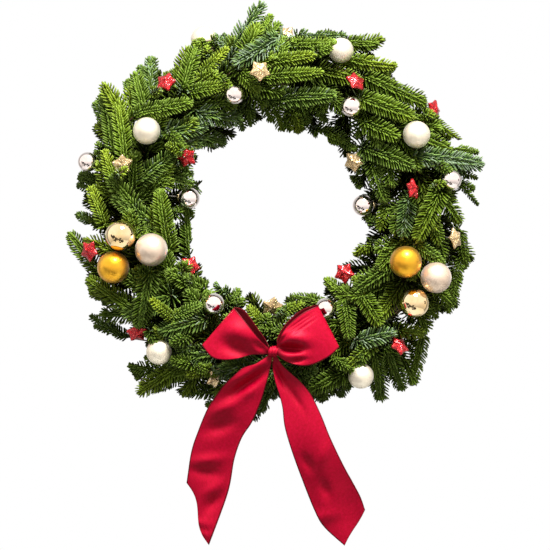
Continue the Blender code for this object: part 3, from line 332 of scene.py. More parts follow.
# The sprays that lie on top, as they are seen: foot and tip in the photograph's pixels,
# how far the tip lies before the foliage's front in mm, needle length in mm, freshness
SPRAYS = (
    (146, 118, 133, 69, 0, 12, 0.45), (152, 104, 148, 53, -6, 9.5, 0.25), (115, 152, 104, 84, 0, 12, 0.45),
    (126, 164, 116, 95, 3, 11.5, 0.75), (140, 113, 194, 103, 6, 11.5, 0.55),
    (162, 134, 209, 124, 0, 14, 0.15), (165, 147, 207, 139, -3, 12, 0.2),
    (188, 153, 166, 145, 8, 8.5, 0.75), (138, 180, 176, 152, 0, 13, 0.3), (152, 172, 194, 184, 2, 13, 0.3),
    (117, 190, 103, 148, 2, 10, 0.95), (135, 208, 108, 176, 3, 13, 0.4), (97, 188, 73, 184, -8, 8, 0.3),
    (106, 226, 88, 185, 2, 10, 0.95), (100, 222, 72, 213, -10, 7.5, 0.3), (98, 270, 65, 231, -4, 13, 0.5),
    (150, 222, 112, 196, 2, 13, 0.3), (168, 250, 159, 188, 6, 13, 0.6), (189, 256, 186, 206, -2, 12, 0.4),
    (142, 316, 84, 277, 3, 13, 0.7), (127, 338, 86, 316, -8, 8.5, 0.3), (170, 296, 121, 318, 4, 15, 0.3),
    (173, 319, 150, 298, 9, 7.5, 1.0), (170, 319, 203, 304, 7, 8.5, 0.35),
    (207, 318, 156, 332, 5, 14, 0.25), (205, 292, 165, 271, 3, 12, 0.45), (228, 296, 214, 282, -5, 9, 0.25),
    (166, 340, 154, 327, 5, 6, 0.95), (162, 372, 125, 367, -4, 9.5, 0.4),
    (192, 368, 137, 388, 2, 11.5, 0.8), (213, 369, 184, 376, 5, 9, 0.85),
    (216, 392, 183, 394, -4, 9.5, 0.35), (216, 352, 162, 362, 0, 13, 0.25),
    (156, 295, 118, 270, 0, 13, 0.35), (226, 396, 204, 408, -3, 8, 0.45), (262, 362, 214, 374, 4, 14, 0.25),
    (280, 372, 258, 416, -6, 11, 0.3), (346, 372, 308, 392, 0, 14, 0.45), (262, 324, 247, 305, 6, 8, 0.85),
    (282, 330, 258, 330, 0, 9, 0.4), (283, 312, 305, 303, 4, 8, 0.75), (330, 305, 292, 296, -4, 9, 0.4),
    (352, 364, 341, 400, -4, 9.5, 0.3), (334, 368, 324, 402, -4, 9.5, 0.4),
    (372, 345, 344, 370, 6, 11, 0.8), (374, 350, 381, 402, 0, 11, 0.35), (386, 348, 405, 393, 0, 12, 0.35),
    (426, 322, 413, 386, -2, 11.5, 0.6), (398, 330, 427, 334, 3, 9.5, 0.75),
    (420, 304, 440, 319, -6, 8, 0.6), (358, 341, 397, 332, 6, 12, 0.1), (362, 294, 381, 327, 6, 12, 0.65),
    (346, 296, 349, 340, 4, 12, 0.45), (348, 296, 324, 278, 2, 9, 0.6), (392, 266, 353, 292, 3, 12, 0.35),
    (460, 262, 449, 315, -4, 10, 0.45), (461, 228, 468, 270, -8, 8, 0.55), (414, 244, 444, 263, 6, 9, 0.4),
    (373, 242, 354, 256, 0, 9, 0.85), (430, 216, 441, 246, 3, 10, 0.55), (440, 192, 462, 224, 0, 12, 0.6),
    (440, 190, 415, 243, 6, 14, 0.75), (408, 200, 402, 240, 2, 12, 0.15), (388, 203, 379, 232, 3, 10, 0.7),
    (372, 158, 386, 204, 4, 13, 0.4), (456, 176, 481, 205, -8, 4.5, 0.35),
    (462, 172, 481, 177, -10, 5, 0.75), (416, 156, 481, 163, 5, 13, 0.08),
    (362, 146, 415, 168, 6, 14, 0.35), (418, 135, 454, 152, 0, 11, 0.6),
    (428, 116, 464, 142, -4, 8.5, 0.75), (364, 122, 400, 139, 4, 13, 0.6), (360, 98, 416, 118, 6, 13, 0.65),
    (364, 76, 429, 105, 0, 11.5, 0.6), (345, 60, 399, 66, 2, 10.5, 0.9), (346, 42, 381, 42, -4, 10.5, 0.55),
    (296, 34, 349, 34, -8, 7.5, 0.2), (276, 46, 339, 43, 0, 9, 0.6), (268, 62, 317, 56, 5, 9.5, 0.85),
    (262, 78, 324, 73, 6, 10, 0.7), (268, 98, 338, 96, 4, 13, 0.3), (292, 108, 300, 134, 2, 10, 0.85),
    (314, 126, 346, 142, -2, 10, 0.65), (262, 98, 272, 122, -2, 9, 0.5), (330, 130, 358, 150, -2, 10, 0.35),
    (238, 70, 260, 94, 6, 10, 0.65), (196, 112, 244, 120, 2, 14, 0.2), (186, 132, 228, 142, -2, 12, 0.25),
    (190, 92, 227, 86, 4, 9.5, 0.75), (200, 76, 229, 47, 6, 8, 1.0), (226, 48, 214, 30, -4, 5, 0.15),
    (247, 52, 259, 21, 2, 14, 0.7), (260, 44, 281, 20, -4, 10, 0.55), (281, 38, 232, 66, 6, 14, 0.08),
    (272, 96, 284, 133, -4, 10, 0.7), (284, 92, 304, 122, -6, 9, 0.35), (108, 186, 76, 172, -10, 9, 0.35),
    (188, 372, 150, 392, -6, 10, 0.4), (112, 132, 92, 98, -4, 10, 0.3), (118, 300, 86, 293, -4, 8, 0.75),
    (196, 356, 174, 342, 0, 10, 0.35), (440, 146, 482, 151, -4, 7, 0.5), (228, 306, 240, 288, -4, 8, 0.35),
    (174, 352, 151, 345, 0, 8, 0.55), (346, 352, 360, 374, -4, 10, 0.3), (318, 52, 339, 44, -2, 7, 0.6),
    (134, 106, 125, 76, -4, 9, 0.35), (256, 40, 272, 11, -3, 8, 0.6), (150, 92, 137, 62, -6, 8, 0.3),
    (440, 282, 457, 307, -6, 9, 0.5), (100, 226, 74, 214, -8, 8, 0.3), (300, 372, 318, 400, -8, 9, 0.3),
    (292, 308, 274, 322, 2, 8, 0.4), (310, 336, 290, 372, -6, 12, 0.25), (300, 352, 306, 380, -8, 11, 0.3),
    (254, 326, 270, 318, 0, 9, 0.3), (182, 90, 198, 39, 4, 11, 0.55), (281, 62, 284, 34, 0, 9, 0.5),
    (166, 330, 190, 352, -2, 11, 0.2), (384, 320, 372, 348, -2, 10, 0.2), (212, 40, 191, 44, 6, 8, 0.7),
    (116, 178, 128, 168, 10, 7, 0.85), (140, 316, 136, 328, 8, 10, 0.4), (196, 366, 218, 376, 10, 7, 0.75),
    (168, 132, 186, 150, 8, 8, 0.45), (176, 166, 184, 164, 9, 7, 0.35), (152, 92, 162, 92, 8, 8, 0.8),
    (266, 326, 268, 312, 8, 7, 0.45), (284, 318, 278, 308, 7, 7, 0.5), (366, 168, 356, 172, 6, 6, 0.35),
    (362, 286, 352, 276, 6, 7, 0.7), (424, 116, 436, 112, 4, 8, 0.7), (192, 286, 184, 276, 8, 6, 0.35),
    (262, 26, 276, 38, -2, 9, 0.5), (306, 42, 290, 40, -2, 8, 0.6), (208, 56, 206, 44, 4, 7, 0.75),
    (304, 112, 294, 136, -6, 8, 0.4), (236, 102, 243, 130, -6, 9, 0.25), (434, 288, 455, 308, -4, 9, 0.6),
    (364, 352, 357, 374, -4, 9, 0.35), (178, 158, 192, 177, 0, 8, 0.3), (428, 246, 443, 272, 0, 9, 0.5),
    (152, 328, 153, 348, 0, 8, 0.3), (312, 98, 325, 121, -4, 9, 0.35), (152, 222, 143, 246, 0, 9, 0.35),
    (440, 170, 458, 178, -2, 9, 0.35), (208, 186, 192, 196, -6, 8, 0.35), (374, 196, 360, 202, 0, 8, 0.3),
    (150, 272, 139, 330, 8, 14, 0.35), (248, 96, 252, 118, -8, 9, 0.3), (318, 106, 328, 122, -8, 9, 0.3),
    (300, 96, 310, 124, -4, 9, 0.35), (134, 372, 128, 366, -4, 7, 0.5), (186, 206, 192, 216, -4, 8, 0.3),
    (100, 152, 97, 140, -4, 9, 0.35), (250, 372, 226, 354, 9, 10, 0.3), (256, 378, 238, 374, 8, 9, 0.3),
    (300, 366, 322, 350, 9, 11, 0.3), (296, 374, 318, 368, 8, 10, 0.3), (262, 346, 240, 332, 8, 9, 0.3),
    (286, 340, 308, 326, 8, 9, 0.3), (275, 372, 264, 392, 5, 10, 0.3), (284, 368, 292, 388, 4, 10, 0.3),
    (286, 110, 290, 133, -2, 9, 0.4), (300, 110, 303, 131, -2, 9, 0.45), (316, 53, 339, 43, 9, 8, 0.6),
    (462, 182, 478, 189, -6, 7, 0.4), (92, 178, 74, 177, -8, 7, 0.35), (150, 72, 153, 54, -6, 8, 0.3),
    (192, 364, 169, 359, 9, 9, 0.5), (186, 338, 169, 344, 9, 9, 0.35), (336, 360, 356, 372, 9, 9, 0.45),
    (438, 164, 452, 174, 9, 8, 0.35), (434, 186, 446, 183, 8, 7, 0.7), (220, 78, 232, 90, 8, 7, 0.7),
    (374, 224, 367, 212, 6, 7, 0.35), (174, 214, 184, 205, 6, 7, 0.4), (452, 284, 458, 309, -6, 8, 0.5),
    (104, 300, 86, 287, -6, 7, 0.6), (108, 330, 90, 326, -8, 7, 0.5), (346, 376, 351, 392, -5, 8, 0.3),
    (236, 308, 244, 297, -2, 8, 0.4), (150, 330, 156, 346, 9, 9, 0.35), (362, 350, 359, 371, 9, 9, 0.35),
    (432, 254, 443, 270, 8, 9, 0.4), (138, 226, 145, 242, 8, 9, 0.5), (352, 176, 356, 190, 4, 7, 0.4),
    (246, 102, 251, 126, -4, 9, 0.35), (312, 380, 320, 403, -6, 9, 0.35), (104, 112, 97, 92, -4, 9, 0.4),
)

# Where the photograph shows no growth: the middle and radius of each bare spot, in its pixels
BARE_SPOTS = (
    (131, 350, 13), (199, 222, 8), (200, 238, 8), (199, 254, 8), (165, 62, 7),
    (218, 24, 8), (72, 196, 8), (204, 158, 7), (84, 230, 6), (446, 321, 6), (403, 72, 7),
    (262, 124, 5), (323, 141, 6), (339, 22, 5), (86, 151, 4), (448, 111, 6),
    (458, 142, 5), (314, 25, 5), (88, 119, 5), (107, 77, 4), (436, 336, 6), (335, 404, 5),
    (464, 197, 4), (471, 209, 6), (275, 408, 5), (221, 283, 4), (178, 402, 4), (241, 12, 5),
    (381, 408, 4), (79, 276, 4), (363, 239, 4), (192, 243, 3), (96, 309, 3), (489, 167, 3),
    (468, 226, 5), (203, 186, 5), (208, 38, 3), (322, 288, 3), (338, 270, 4), (255, -4, 4),
)
# A stem ends this far before a bare spot, in pixels
BARE_MARGIN = 7
KEPT_STEPS = 6

# Each bauble: name, clock angle, radius, depth of its middle and diameter in mm, material
BAUBLES = (
    ("top_left", 336.7, 174, 29, 24, "bauble_cream"),
    ("top_inner_left", 339.4, 114, 55, 18.5, "bauble_rose"),
    ("top_right", 21.4, 159, 47, 23, "bauble_cream"),
    ("top_inner_right", 35.1, 117, 55, 20, "bauble_rose"),
    ("right_upper", 61.2, 145, 59, 25, "bauble_cream"),
    ("right_edge", 79.8, 162, 47, 19.5, "bauble_rose"),
    ("right_inner", 86, 79, 35, 20, "bauble_rose"),
    ("right_trio_low", 111.9, 126, 63, 29.5, "bauble_gold"),
    ("right_trio_outer", 112.9, 157.5, 55, 28.5, "bauble_champagne"),
    ("right_trio_bottom", 124, 151, 55, 27.5, "bauble_bright_gold"),
    ("bottom_right", 153.3, 170, 47, 23.5, "bauble_cream"),
    ("bow_right", 154.1, 100, 43, 19.5, "bauble_rose"),
    ("bow_left", 214.6, 104, 51, 20, "bauble_rose"),
    ("bottom_left", 220.2, 170, 45, 23.5, "bauble_cream"),
    ("left_trio_top", 261.1, 146, 61, 28.5, "bauble_bright_gold"),
    ("left_trio_inner", 252.9, 121.5, 61, 30, "bauble_champagne"),
    ("left_trio_outer", 251.1, 160, 55, 29.5, "bauble_gold"),
    ("left_inner", 278.3, 83, 37, 20, "bauble_rose"),
    ("left_upper", 301.3, 141, 59, 25, "bauble_cream"),
    ("left_edge", 284.6, 182, 33, 18.5, "bauble_rose"),
)

# Each star: name, clock angle, radius and depth in mm, tilt in its plane, turn to the side, material
STARS = (
    ("top", 352.6, 129, 64, 10, 0, "star_gold"),
    ("top_back", 2.4, 164, 18, 30, 0, "star_gold"),
    ("top_right", 31, 138, 64, 20, 10, "star_red"),
    ("right_top_edge", 56.9, 172, 32, 0, 15, "star_red"),
    ("right_inner", 56.8, 84, 38, 15, 0, "star_gold"),
    ("right_middle", 80.9, 125, 64, 0, 25, "star_red"),
    ("right_low_edge", 98.8, 165, 50, 0, 35, "star_gold"),
    ("right_low_inner", 132.8, 84, 34, 30, 20, "star_red"),
    ("right_low", 138, 167, 50, 0, 10, "star_red"),
    ("bottom_inner", 183.6, 88, 40, 0, 0, "star_gold"),
    ("left_low_inner", 238.1, 96, 44, 20, 0, "star_red"),
    ("left_edge", 258.1, 178, 40, 0, 0, "star_red"),
    ("left_low", 229.3, 172, 38, 10, 0, "star_red"),
    ("bottom_left", 200.6, 164, 46, 0, 20, "star_gold"),
    ("left_inner", 300.5, 98, 50, 0, 0, "star_red"),
    ("left_upper", 286.6, 149, 58, 15, 10, "star_gold"),
    ("top_left", 319, 157, 52, 0, 0, "star_red"),
)

# How each star really stands: degrees of spin in its own plane, of turn and of nod
STAR_LEANS = {
    "top": (28, 12, -14), "top_back": (10, -20, 0), "top_right": (-17, 8, -38), "right_top_edge": (20, 40, 0),
    "right_inner": (17, -22, 8), "right_middle": (8, 32, -10), "right_low_edge": (-14, 22, -8),
    "right_low_inner": (4, -30, 10), "right_low": (-20, 30, -35), "bottom_inner": (12, 12, 30),
    "left_low_inner": (8, 6, -8), "left_edge": (34, -35, 5), "left_low": (-18, 15, 34),
    "bottom_left": (20, 25, 20), "left_inner": (-15, -20, 20), "left_upper": (-24, 14, 24),
    "top_left": (12, -18, -28),
}
# Stars that needles partly cover
COVERED_STARS = (
    "bottom_left", "left_low", "left_inner", "left_upper", "right_top_edge", "right_inner",
    "right_low_inner", "bottom_inner", "top_back", "top_left", "left_low_inner",
)

# Ribbon outlines, from the ring's centre in mm: each pair is an edge of the ribbon, (x, z)
LEFT_TAIL = (
    ((-7, -138.5), (-33, -152), (-57, -178), (-67, -202), (-78, -228), (-84, -253)),
    ((-1.4, -138.5), (-9, -166), (-18, -192), (-32, -214), (-42, -250), (-63.5, -307)),
)
RIGHT_TAIL = (
    ((-0.4, -138.5), (3.5, -157), (4.6, -183), (11, -215), (25, -259), (60.7, -308)),
    ((5, -138.5), (18, -149), (34, -168), (47, -206), (62, -246), (80, -275)),
)
LEFT_LOOP = (
    ((-9, -123.5), (-18, -113), (-30, -99), (-38, -88)),
    ((-9, -132.5), (-22, -137), (-48, -137), (-69, -124)),
)
RIGHT_LOOP = (
    ((7, -123.5), (15, -113), (25, -98), (35, -86)),
    ((7, -132.5), (20, -141), (38, -137), (55.5, -125)),
)
LOOP_STATIONS = (0, 0.22, 0.48, 0.75, 0.93)
TAIL_ROWS = 13

# The same ribbons seen closely, in mm from the ring's centre, for the satin itself.
# Each has its two edges, from the knot outward, with the front and back layers of a loop apart.
SATIN_LEFT_FRONT = (
    ((-8, -126), (-13, -121.5), (-19, -115), (-26, -106), (-33, -97), (-39.4, -89.3)),
    ((-8, -130.5), (-16, -130.5), (-25, -131.5), (-37, -135), (-51, -136), (-61, -133), (-69.3, -122.9)),
)
SATIN_LEFT_BACK = (
    ((-8, -125), (-12, -117), (-18, -108.5), (-24.5, -99), (-31.5, -90.5), (-39.4, -88.3)),
    ((-8, -131), (-16, -131.5), (-25, -132), (-37, -134.5), (-51, -135), (-61, -132), (-69.3, -122.9)),
)
SATIN_RIGHT_FRONT = (
    ((-2, -126), (0.5, -118.5), (6.4, -107.5), (16, -98), (25.5, -91.5), (36, -87)),
    ((-2, -130), (5, -136), (14, -140), (25, -141.4), (35.4, -138.7), (47, -132.5), (55.7, -124.6)),
)
SATIN_RIGHT_BACK = (
    ((0, -125), (-0.5, -116.5), (6, -105), (15.5, -95), (25, -89), (36, -85.8)),
    ((0, -131), (5, -135), (14, -139), (25, -140.4), (35.4, -138), (47, -132), (55.7, -124.6)),
)
SATIN_LEFT_TAIL = (
    ((-8, -131.5), (-20, -139.5), (-32, -143.5), (-41, -151), (-50, -160), (-58, -171), (-65, -182),
     (-73, -201), (-79.6, -221), (-84.1, -250)),
    ((-4.5, -133), (-6.5, -141), (-8.5, -150), (-11.5, -161), (-15.5, -174), (-23.5, -193), (-33, -208),
     (-40, -228), (-46, -259), (-63.5, -307.3)),
)
SATIN_RIGHT_TAIL = (
    ((-4.5, -133), (-5, -143), (-2.4, -157), (1.1, -168), (4, -180), (6, -197), (12, -218),
     (22, -246), (33.5, -275), (42.6, -290.6), (61.2, -307.8)),
    ((-1, -133), (4, -141), (12, -148.5), (22, -157.5), (31, -169.5), (39.5, -187), (48, -208),
     (60, -233), (69, -249.5), (76, -263), (80, -274.8)),
)
# Folds of the ribbon, each a ridge or, below zero, a valley, as it is seen from the front:
# x and z of its middle in mm from the ring's centre, the angle it runs at in degrees from
# level, its half length, half width and height in mm
LEFT_TAIL_FOLDS = (
    (-30, -149, 31, 22, 4.5, 3.5), (-26, -157, 35, 24, 4.2, -5.0), (-27, -166, 40, 9, 5, 2.0),
    (-50, -180, 25, 15, 6, 3.5), (-53, -198, 20, 13, 6, -3.5), (-65, -229, 8, 15, 5, 2.6),
    (-66, -240, -8, 12, 5, -2.4), (-61, -256, 40, 9, 5, 2.4), (-59, -268, 48, 11, 5, -3.6),
    (-66, -288, -15, 10, 2.5, 1.8), (-64, -298, -15, 9, 2.2, 1.5),
)
RIGHT_TAIL_FOLDS = (
    (30, -212, 0, 60, 40, 9.0), (0, -148, -65, 14, 3, -4.5), (14, -168, -58, 16, 3, -1.8),
    (27, -231, -62, 8, 4.5, -2.2), (43, -255, -68, 9, 5, -2.4), (42, -281, 15, 16, 6, 1.6),
    (42, -222, 70, 12, 5, 1.8),
)
LEFT_LOOP_FOLDS = (
    (-44, -107, -19, 18, 8, 3.0), (-33, -127, -17, 19, 8.5, -9.0), (-15, -125, -35, 9, 4, -5.0),
    (-13, -119, -50, 7, 1.5, -2.0),
)
RIGHT_LOOP_FOLDS = (
    (14, -115.5, -8, 14, 5, 3.5), (11, -125.5, -4, 11, 3.8, -11.0), (17, -136.5, 8, 7, 2.5, -4.0),
    (3, -118, 40, 6, 1.8, -3.0), (21.4, -100, 35, 14, 0.8, -1.3), (22.8, -102.2, 35, 14, 0.8, -1.2),
    (24.8, -105, 35, 12, 0.9, -1.0),
)
# How far the slanted cut of a tail waves in and out, in mm
CUT_WAVE = 3.0
ACROSS = 49


# Places

def spot(clock, radius, depth):
    """The point at a clock angle in degrees, a radius and a depth in metres."""
    angle = math.radians(clock)
    return np.array((radius * math.sin(angle), BACK_Y - depth, radius * math.cos(angle) - RING_DROP))


def radial(clock):
    angle = math.radians(clock)
    return np.array((math.sin(angle), 0.0, math.cos(angle)))


def ring_place(point):
    """The offset from the ring's middle radius, and the depth, of a point."""
    radius = math.hypot(point[0], point[2] + RING_DROP)
    return radius - RING_RADIUS, BACK_Y - point[1]


def unit(vector):
    return vector / max(np.linalg.norm(vector), 1e-12)


def units(vectors):
    return vectors / np.maximum(np.linalg.norm(vectors, axis=-1, keepdims=True), 1e-12)


def resample(points, count):
    """Points evenly spaced along a line."""
    steps = np.linalg.norm(np.diff(points, axis=0), axis=1)
    reach = np.concatenate(([0], np.cumsum(steps)))
    wanted = np.linspace(0, reach[-1], count)
    return np.stack([np.interp(wanted, reach, points[:, axis]) for axis in range(3)], axis=1)


def along(points, share):
    """A point at a share of the way along a smooth curve through given points."""
    knots = np.array(points, dtype=float)
    count = len(knots)
    at = min(share * (count - 1), count - 1 - 1e-9)
    index = int(at)
    t = at - index
    before = knots[max(index - 1, 0)]
    first = knots[index]
    second = knots[index + 1]
    after = knots[min(index + 2, count - 1)]
    return 0.5 * (
        2 * first
        + (second - before) * t
        + (2 * before - 5 * first + 4 * second - after) * t * t
        + (3 * first - before - 3 * second + after) * t ** 3
    )


def smooth_line(points, per_span):
    """A smooth line through points, with a number of steps in each span."""
    count = (len(points) - 1) * per_span
    return np.array([along(points, step / count) for step in range(count + 1)])


# The room that the stems keep clear of

class Obstacles:
    """Round-ended rods that stems keep clear of, each with its owner's number."""

    def __init__(self):
        self.starts = np.zeros((0, 3))
        self.ends = np.zeros((0, 3))
        self.radii = np.zeros(0)
        self.owners = np.zeros(0, dtype=int)

    def add(self, start, end, radius, owner=-1):
        self.starts = np.vstack((self.starts, start))
        self.ends = np.vstack((self.ends, end))
        self.radii = np.append(self.radii, radius)
        self.owners = np.append(self.owners, owner)

    def add_path(self, points, radius, owner=-1):
        for start, end in zip(points[:-1], points[1:]):
            self.add(start, end, radius, owner)

    def push_out(self, point, clearance, skip_bunch=-2):
        """Move a point until it is clear of every obstacle outside the bunch that is named."""
        others = self.owners // BUNCH_NUMBERS != skip_bunch
        if not others.any():
            return point
        first, last, radii = self.starts[others], self.ends[others], self.radii[others]
        other = last - first
        lengths = np.maximum(np.einsum("ij,ij->i", other, other), 1e-18)
        t = np.clip(np.einsum("ij,ij->i", point - first, other) / lengths, 0, 1)
        away = point - (first + t[:, None] * other)
        distance = np.linalg.norm(away, axis=1)
        lack = radii + clearance - distance
        short = lack > 0
        if not short.any():
            return point
        moves = away[short] / np.maximum(distance[short], 1e-9)[:, None] * lack[short][:, None]
        return point + moves.sum(axis=0)


def straw_depth(offset):
    """How deep the straw reaches at an offset from its middle radius."""
    return np.interp(np.abs(offset), STRAW_ROOM_WIDTHS, STRAW_ROOM_DEPTHS)


def lift_off_straw(point, clearance):
    offset, depth = ring_place(point)
    slope = 1.0 if abs(offset) <= STRAW_FLAT else SHOULDER_SLOPE
    lowest = float(straw_depth(offset)) + clearance * slope
    if depth < lowest:
        point = point.copy()
        point[1] = BACK_Y - lowest
    return point


def groove_clock(index):
    return (index + 0.5) * TURN_STEP


def wire_turn(index):
    """One turn of the wire: over a bunch's foot at the front, straight across the back."""
    foot = BUNCHES[index][0]
    over = STRAW_DEPTH + 2 * GAP + 2 * STEM_RADIUS + WIRE_RADIUS
    back = groove_clock(index)
    swing, aside, low = WIRE_SHOULDER
    over_swing, over_aside = WIRE_OVER
    turn_swing, turn_depth = WIRE_CORNER
    return [
        spot(foot - swing, RING_RADIUS + aside, low),
        spot(foot - over_swing, RING_RADIUS + over_aside, over),
        spot(foot + over_swing, RING_RADIUS - over_aside, over),
        spot(foot + swing, RING_RADIUS - aside, low),
        spot(back - turn_swing, RING_RADIUS - WIRE_SIDE, turn_depth),
        spot(back, RING_RADIUS - WIRE_IN_GROOVE, WIRE_SUNK),
        spot(back, RING_RADIUS + WIRE_IN_GROOVE, WIRE_SUNK),
        spot(back + turn_swing, RING_RADIUS + WIRE_SIDE, turn_depth),
    ]


def wire_points():
    """The wire's whole run: its turns, then the stretch bent up into the hanging loop."""
    side = RING_RADIUS + WIRE_SIDE
    points = [spot(WIRE_START[0], side, WIRE_START[1])]
    for index in range(TURNS):
        points += wire_turn(index)
    leg = math.degrees(LOOP_HALF_WIDTH / side)
    first, second, last = LOOP_FEET
    points.append(spot(-leg + first[0], side, first[1]))
    for step in range(LOOP_BENDS + 1):
        swing = math.pi * step / LOOP_BENDS
        sideways = -LOOP_HALF_WIDTH * math.cos(swing)
        rise = LOOP_RISE * math.sin(swing)
        points.append(np.array((sideways, 0.0, WIRE_RADIUS - LOOP_RISE + rise)))
    points.append(spot(leg + second[0], side, second[1]))
    points.append(spot(leg + last[0], side, last[1]))
    return points


def pick_seat(clock, radius, start):
    """Where a pick from start meets the straw, on its flat front or its slanted shoulder."""
    offset = radius - RING_RADIUS
    if abs(offset) <= STRAW_FLAT:
        surface = spot(clock, radius, STRAW_DEPTH)
        outward = np.array((0.0, -1.0, 0.0))
    else:
        side = math.copysign(1, offset)
        surface = spot(clock, RING_RADIUS + side * SHOULDER[0], SHOULDER[1])
        outward = unit(SHOULDER_FACING[0] * side * radial(clock) + np.array((0.0, -SHOULDER_FACING[1], 0.0)))
    lean = unit(start - surface)
    tilt = math.sqrt(max(0.0, 1 - float(lean @ outward) ** 2))
    return surface + outward * (GAP + PICK_RADIUS * tilt)


def aim(start, end):
    """A matrix that puts +Z along a rod from start to end."""
    direction = Vector(end - start)
    turn = direction.to_track_quat("Z", "Y").to_matrix().to_4x4()
    return Matrix.Translation(Vector(start)) @ turn


def bauble_place(place):
    """A bauble's middle, radius and the end of its pick."""
    _, clock, radius, depth, diameter, _ = place
    centre = spot(clock, radius * MM, depth * MM)
    return centre, diameter * MM / 2, pick_seat(clock, radius * MM, centre)


def star_place(place):
    """A star's matrix, its middle and the end of its pick."""
    _, clock, radius, depth, tilt, turn, _ = place
    centre = spot(clock, radius * MM, depth * MM)
    facing = Matrix.Rotation(math.radians(90), 4, "X")
    spin = Matrix.Rotation(math.radians(turn), 4, "Z") @ Matrix.Rotation(math.radians(tilt), 4, "Y")
    return Matrix.Translation(Vector(centre)) @ spin @ facing, centre, pick_seat(clock, radius * MM, centre)


def bow_point(flat, depth):
    return np.array((flat[0] * MM, BACK_Y - depth, flat[1] * MM - RING_DROP))


def loop_row(outline, share, layer):
    """A row across a plain bow loop: layer 1 is in front, -1 behind and 0 at the outer fold."""
    top = along(outline[0], share)
    bottom = along(outline[1], share)
    swell = PINCH + LOOP_BULGE * math.sqrt(max(0.0, 4 * share * (1 - share)))
    row = []
    for step in range(LOOP_SPANS + 1):
        across = step / LOOP_SPANS
        flat = top + (bottom - top) * across
        crown = 1 + LOOP_CROWN * math.sin(math.pi * across)
        row.append(bow_point(flat, BOW_DEPTH + layer * (PINCH + (swell - PINCH) * crown)))
    return row


def loop_rows():
    stations = [(LEFT_LOOP, 1, 0)]
    stations += [(LEFT_LOOP, share, 1) for share in reversed(LOOP_STATIONS)]
    stations += [(RIGHT_LOOP, share, 1) for share in LOOP_STATIONS]
    stations += [(RIGHT_LOOP, 1, 0)]
    stations += [(RIGHT_LOOP, share, -1) for share in reversed(LOOP_STATIONS)]
    stations += [(LEFT_LOOP, share, -1) for share in LOOP_STATIONS]
    return [loop_row(*station) for station in stations]


def tail_row(outline, share, phase):
    """A row across a tail, which ripples and falls back towards the wall as it comes down."""
    left = along(outline[0], share)
    right = along(outline[1], share)
    row = []
    for step in range(TAIL_SPANS + 1):
        across = step / TAIL_SPANS
        flat = left + (right - left) * across
        fall = BOW_DEPTH + (TAIL_END_DEPTH - BOW_DEPTH) * share
        ease = min(1.0, share * 4)
        ripple = TAIL_RIPPLE * ease * math.sin(TAIL_WAVES * math.pi * across + phase + TAIL_DRIFT * share)
        row.append(bow_point(flat, fall + ripple))
    return row


def add_rows(obstacles, rows, closed, along_radius, across_radius):
    for row, after in zip(rows, rows[1:] + rows[:1] if closed else rows[1:]):
        obstacles.add_path(row, along_radius)
        for near, far in zip(row, after):
            obstacles.add(near, far, across_radius)


def fill_obstacles(obstacles):
    """Everything that was placed before the fir."""
    obstacles.add_path(wire_points(), WIRE_RADIUS)
    for place in BAUBLES:
        centre, ball, seat = bauble_place(place)
        obstacles.add(centre, centre + 1e-6, ball + BALL_ROOM)
        obstacles.add(centre, seat, PICK_RADIUS)
        cap_end = centre + unit(seat - centre) * ball * (1 + CAP_HEIGHT)
        obstacles.add(centre, cap_end, max(CAP_LEAST, CAP_RADIUS * ball * 2))
    for place in STARS:
        placed, centre, seat = star_place(place)
        obstacles.add(centre, seat, PICK_RADIUS)
        for corner in range(5):
            angle = math.radians(72 * corner)
            tip = placed @ Vector((STAR_RADIUS * math.sin(angle), STAR_RADIUS * math.cos(angle), 0))
            obstacles.add(centre, np.array(tip), STAR_ROOM)
    add_rows(obstacles, loop_rows(), True, LOOP_ROW_ROOM, LOOP_EDGE_ROOM)
    knot = bow_point(KNOT_CENTRE, BOW_DEPTH)
    obstacles.add(knot, knot + 1e-6, KNOT_ROOM)
    for outline, phase in ((LEFT_TAIL, LEFT_TAIL_PHASE), (RIGHT_TAIL, RIGHT_TAIL_PHASE)):
        rows = [tail_row(outline, step / (TAIL_ROWS - 1), phase) for step in range(TAIL_ROWS)]
        add_rows(obstacles, rows, False, TAIL_ROOM, TAIL_ROOM)
    obstacles.add(*tie_ends(), PICK_RADIUS)


def tie_ends():
    """The ends of the wire that ties the bow's knot to the straw."""
    knot_back = BOW_DEPTH - KNOT_OPENING[0] - 2 * KNOT_WALL - GAP
    return bow_point(KNOT_CENTRE, knot_back), bow_point(KNOT_CENTRE, STRAW_DEPTH + GAP)


# Stems

def settle(points, fixed, radius, obstacles, bunch):
    """Bend a stem clear of the straw and of everything placed before it."""
    clearance = radius + STEM_CLEARANCE
    for turn in range(SETTLE_ROUNDS + LAST_ROUNDS):
        for index in range(fixed, len(points)):
            skip = bunch if index < fixed + FOOT_POINTS else -2
            points[index] = obstacles.push_out(points[index], clearance, skip)
            points[index] = lift_off_straw(points[index], radius + GAP)
        if turn >= SETTLE_ROUNDS:
            continue
        for index in range(fixed, len(points) - 1):
            middle = (points[index - 1] + points[index + 1]) / 2
            points[index] = points[index] * (1 - SMOOTHING) + middle * SMOOTHING
    return points


def butt_path(foot):
    low = STRAW_DEPTH + GAP + STEM_RADIUS
    return np.array([spot(foot + swing, RING_RADIUS, low) for swing in BUTT_SWINGS])


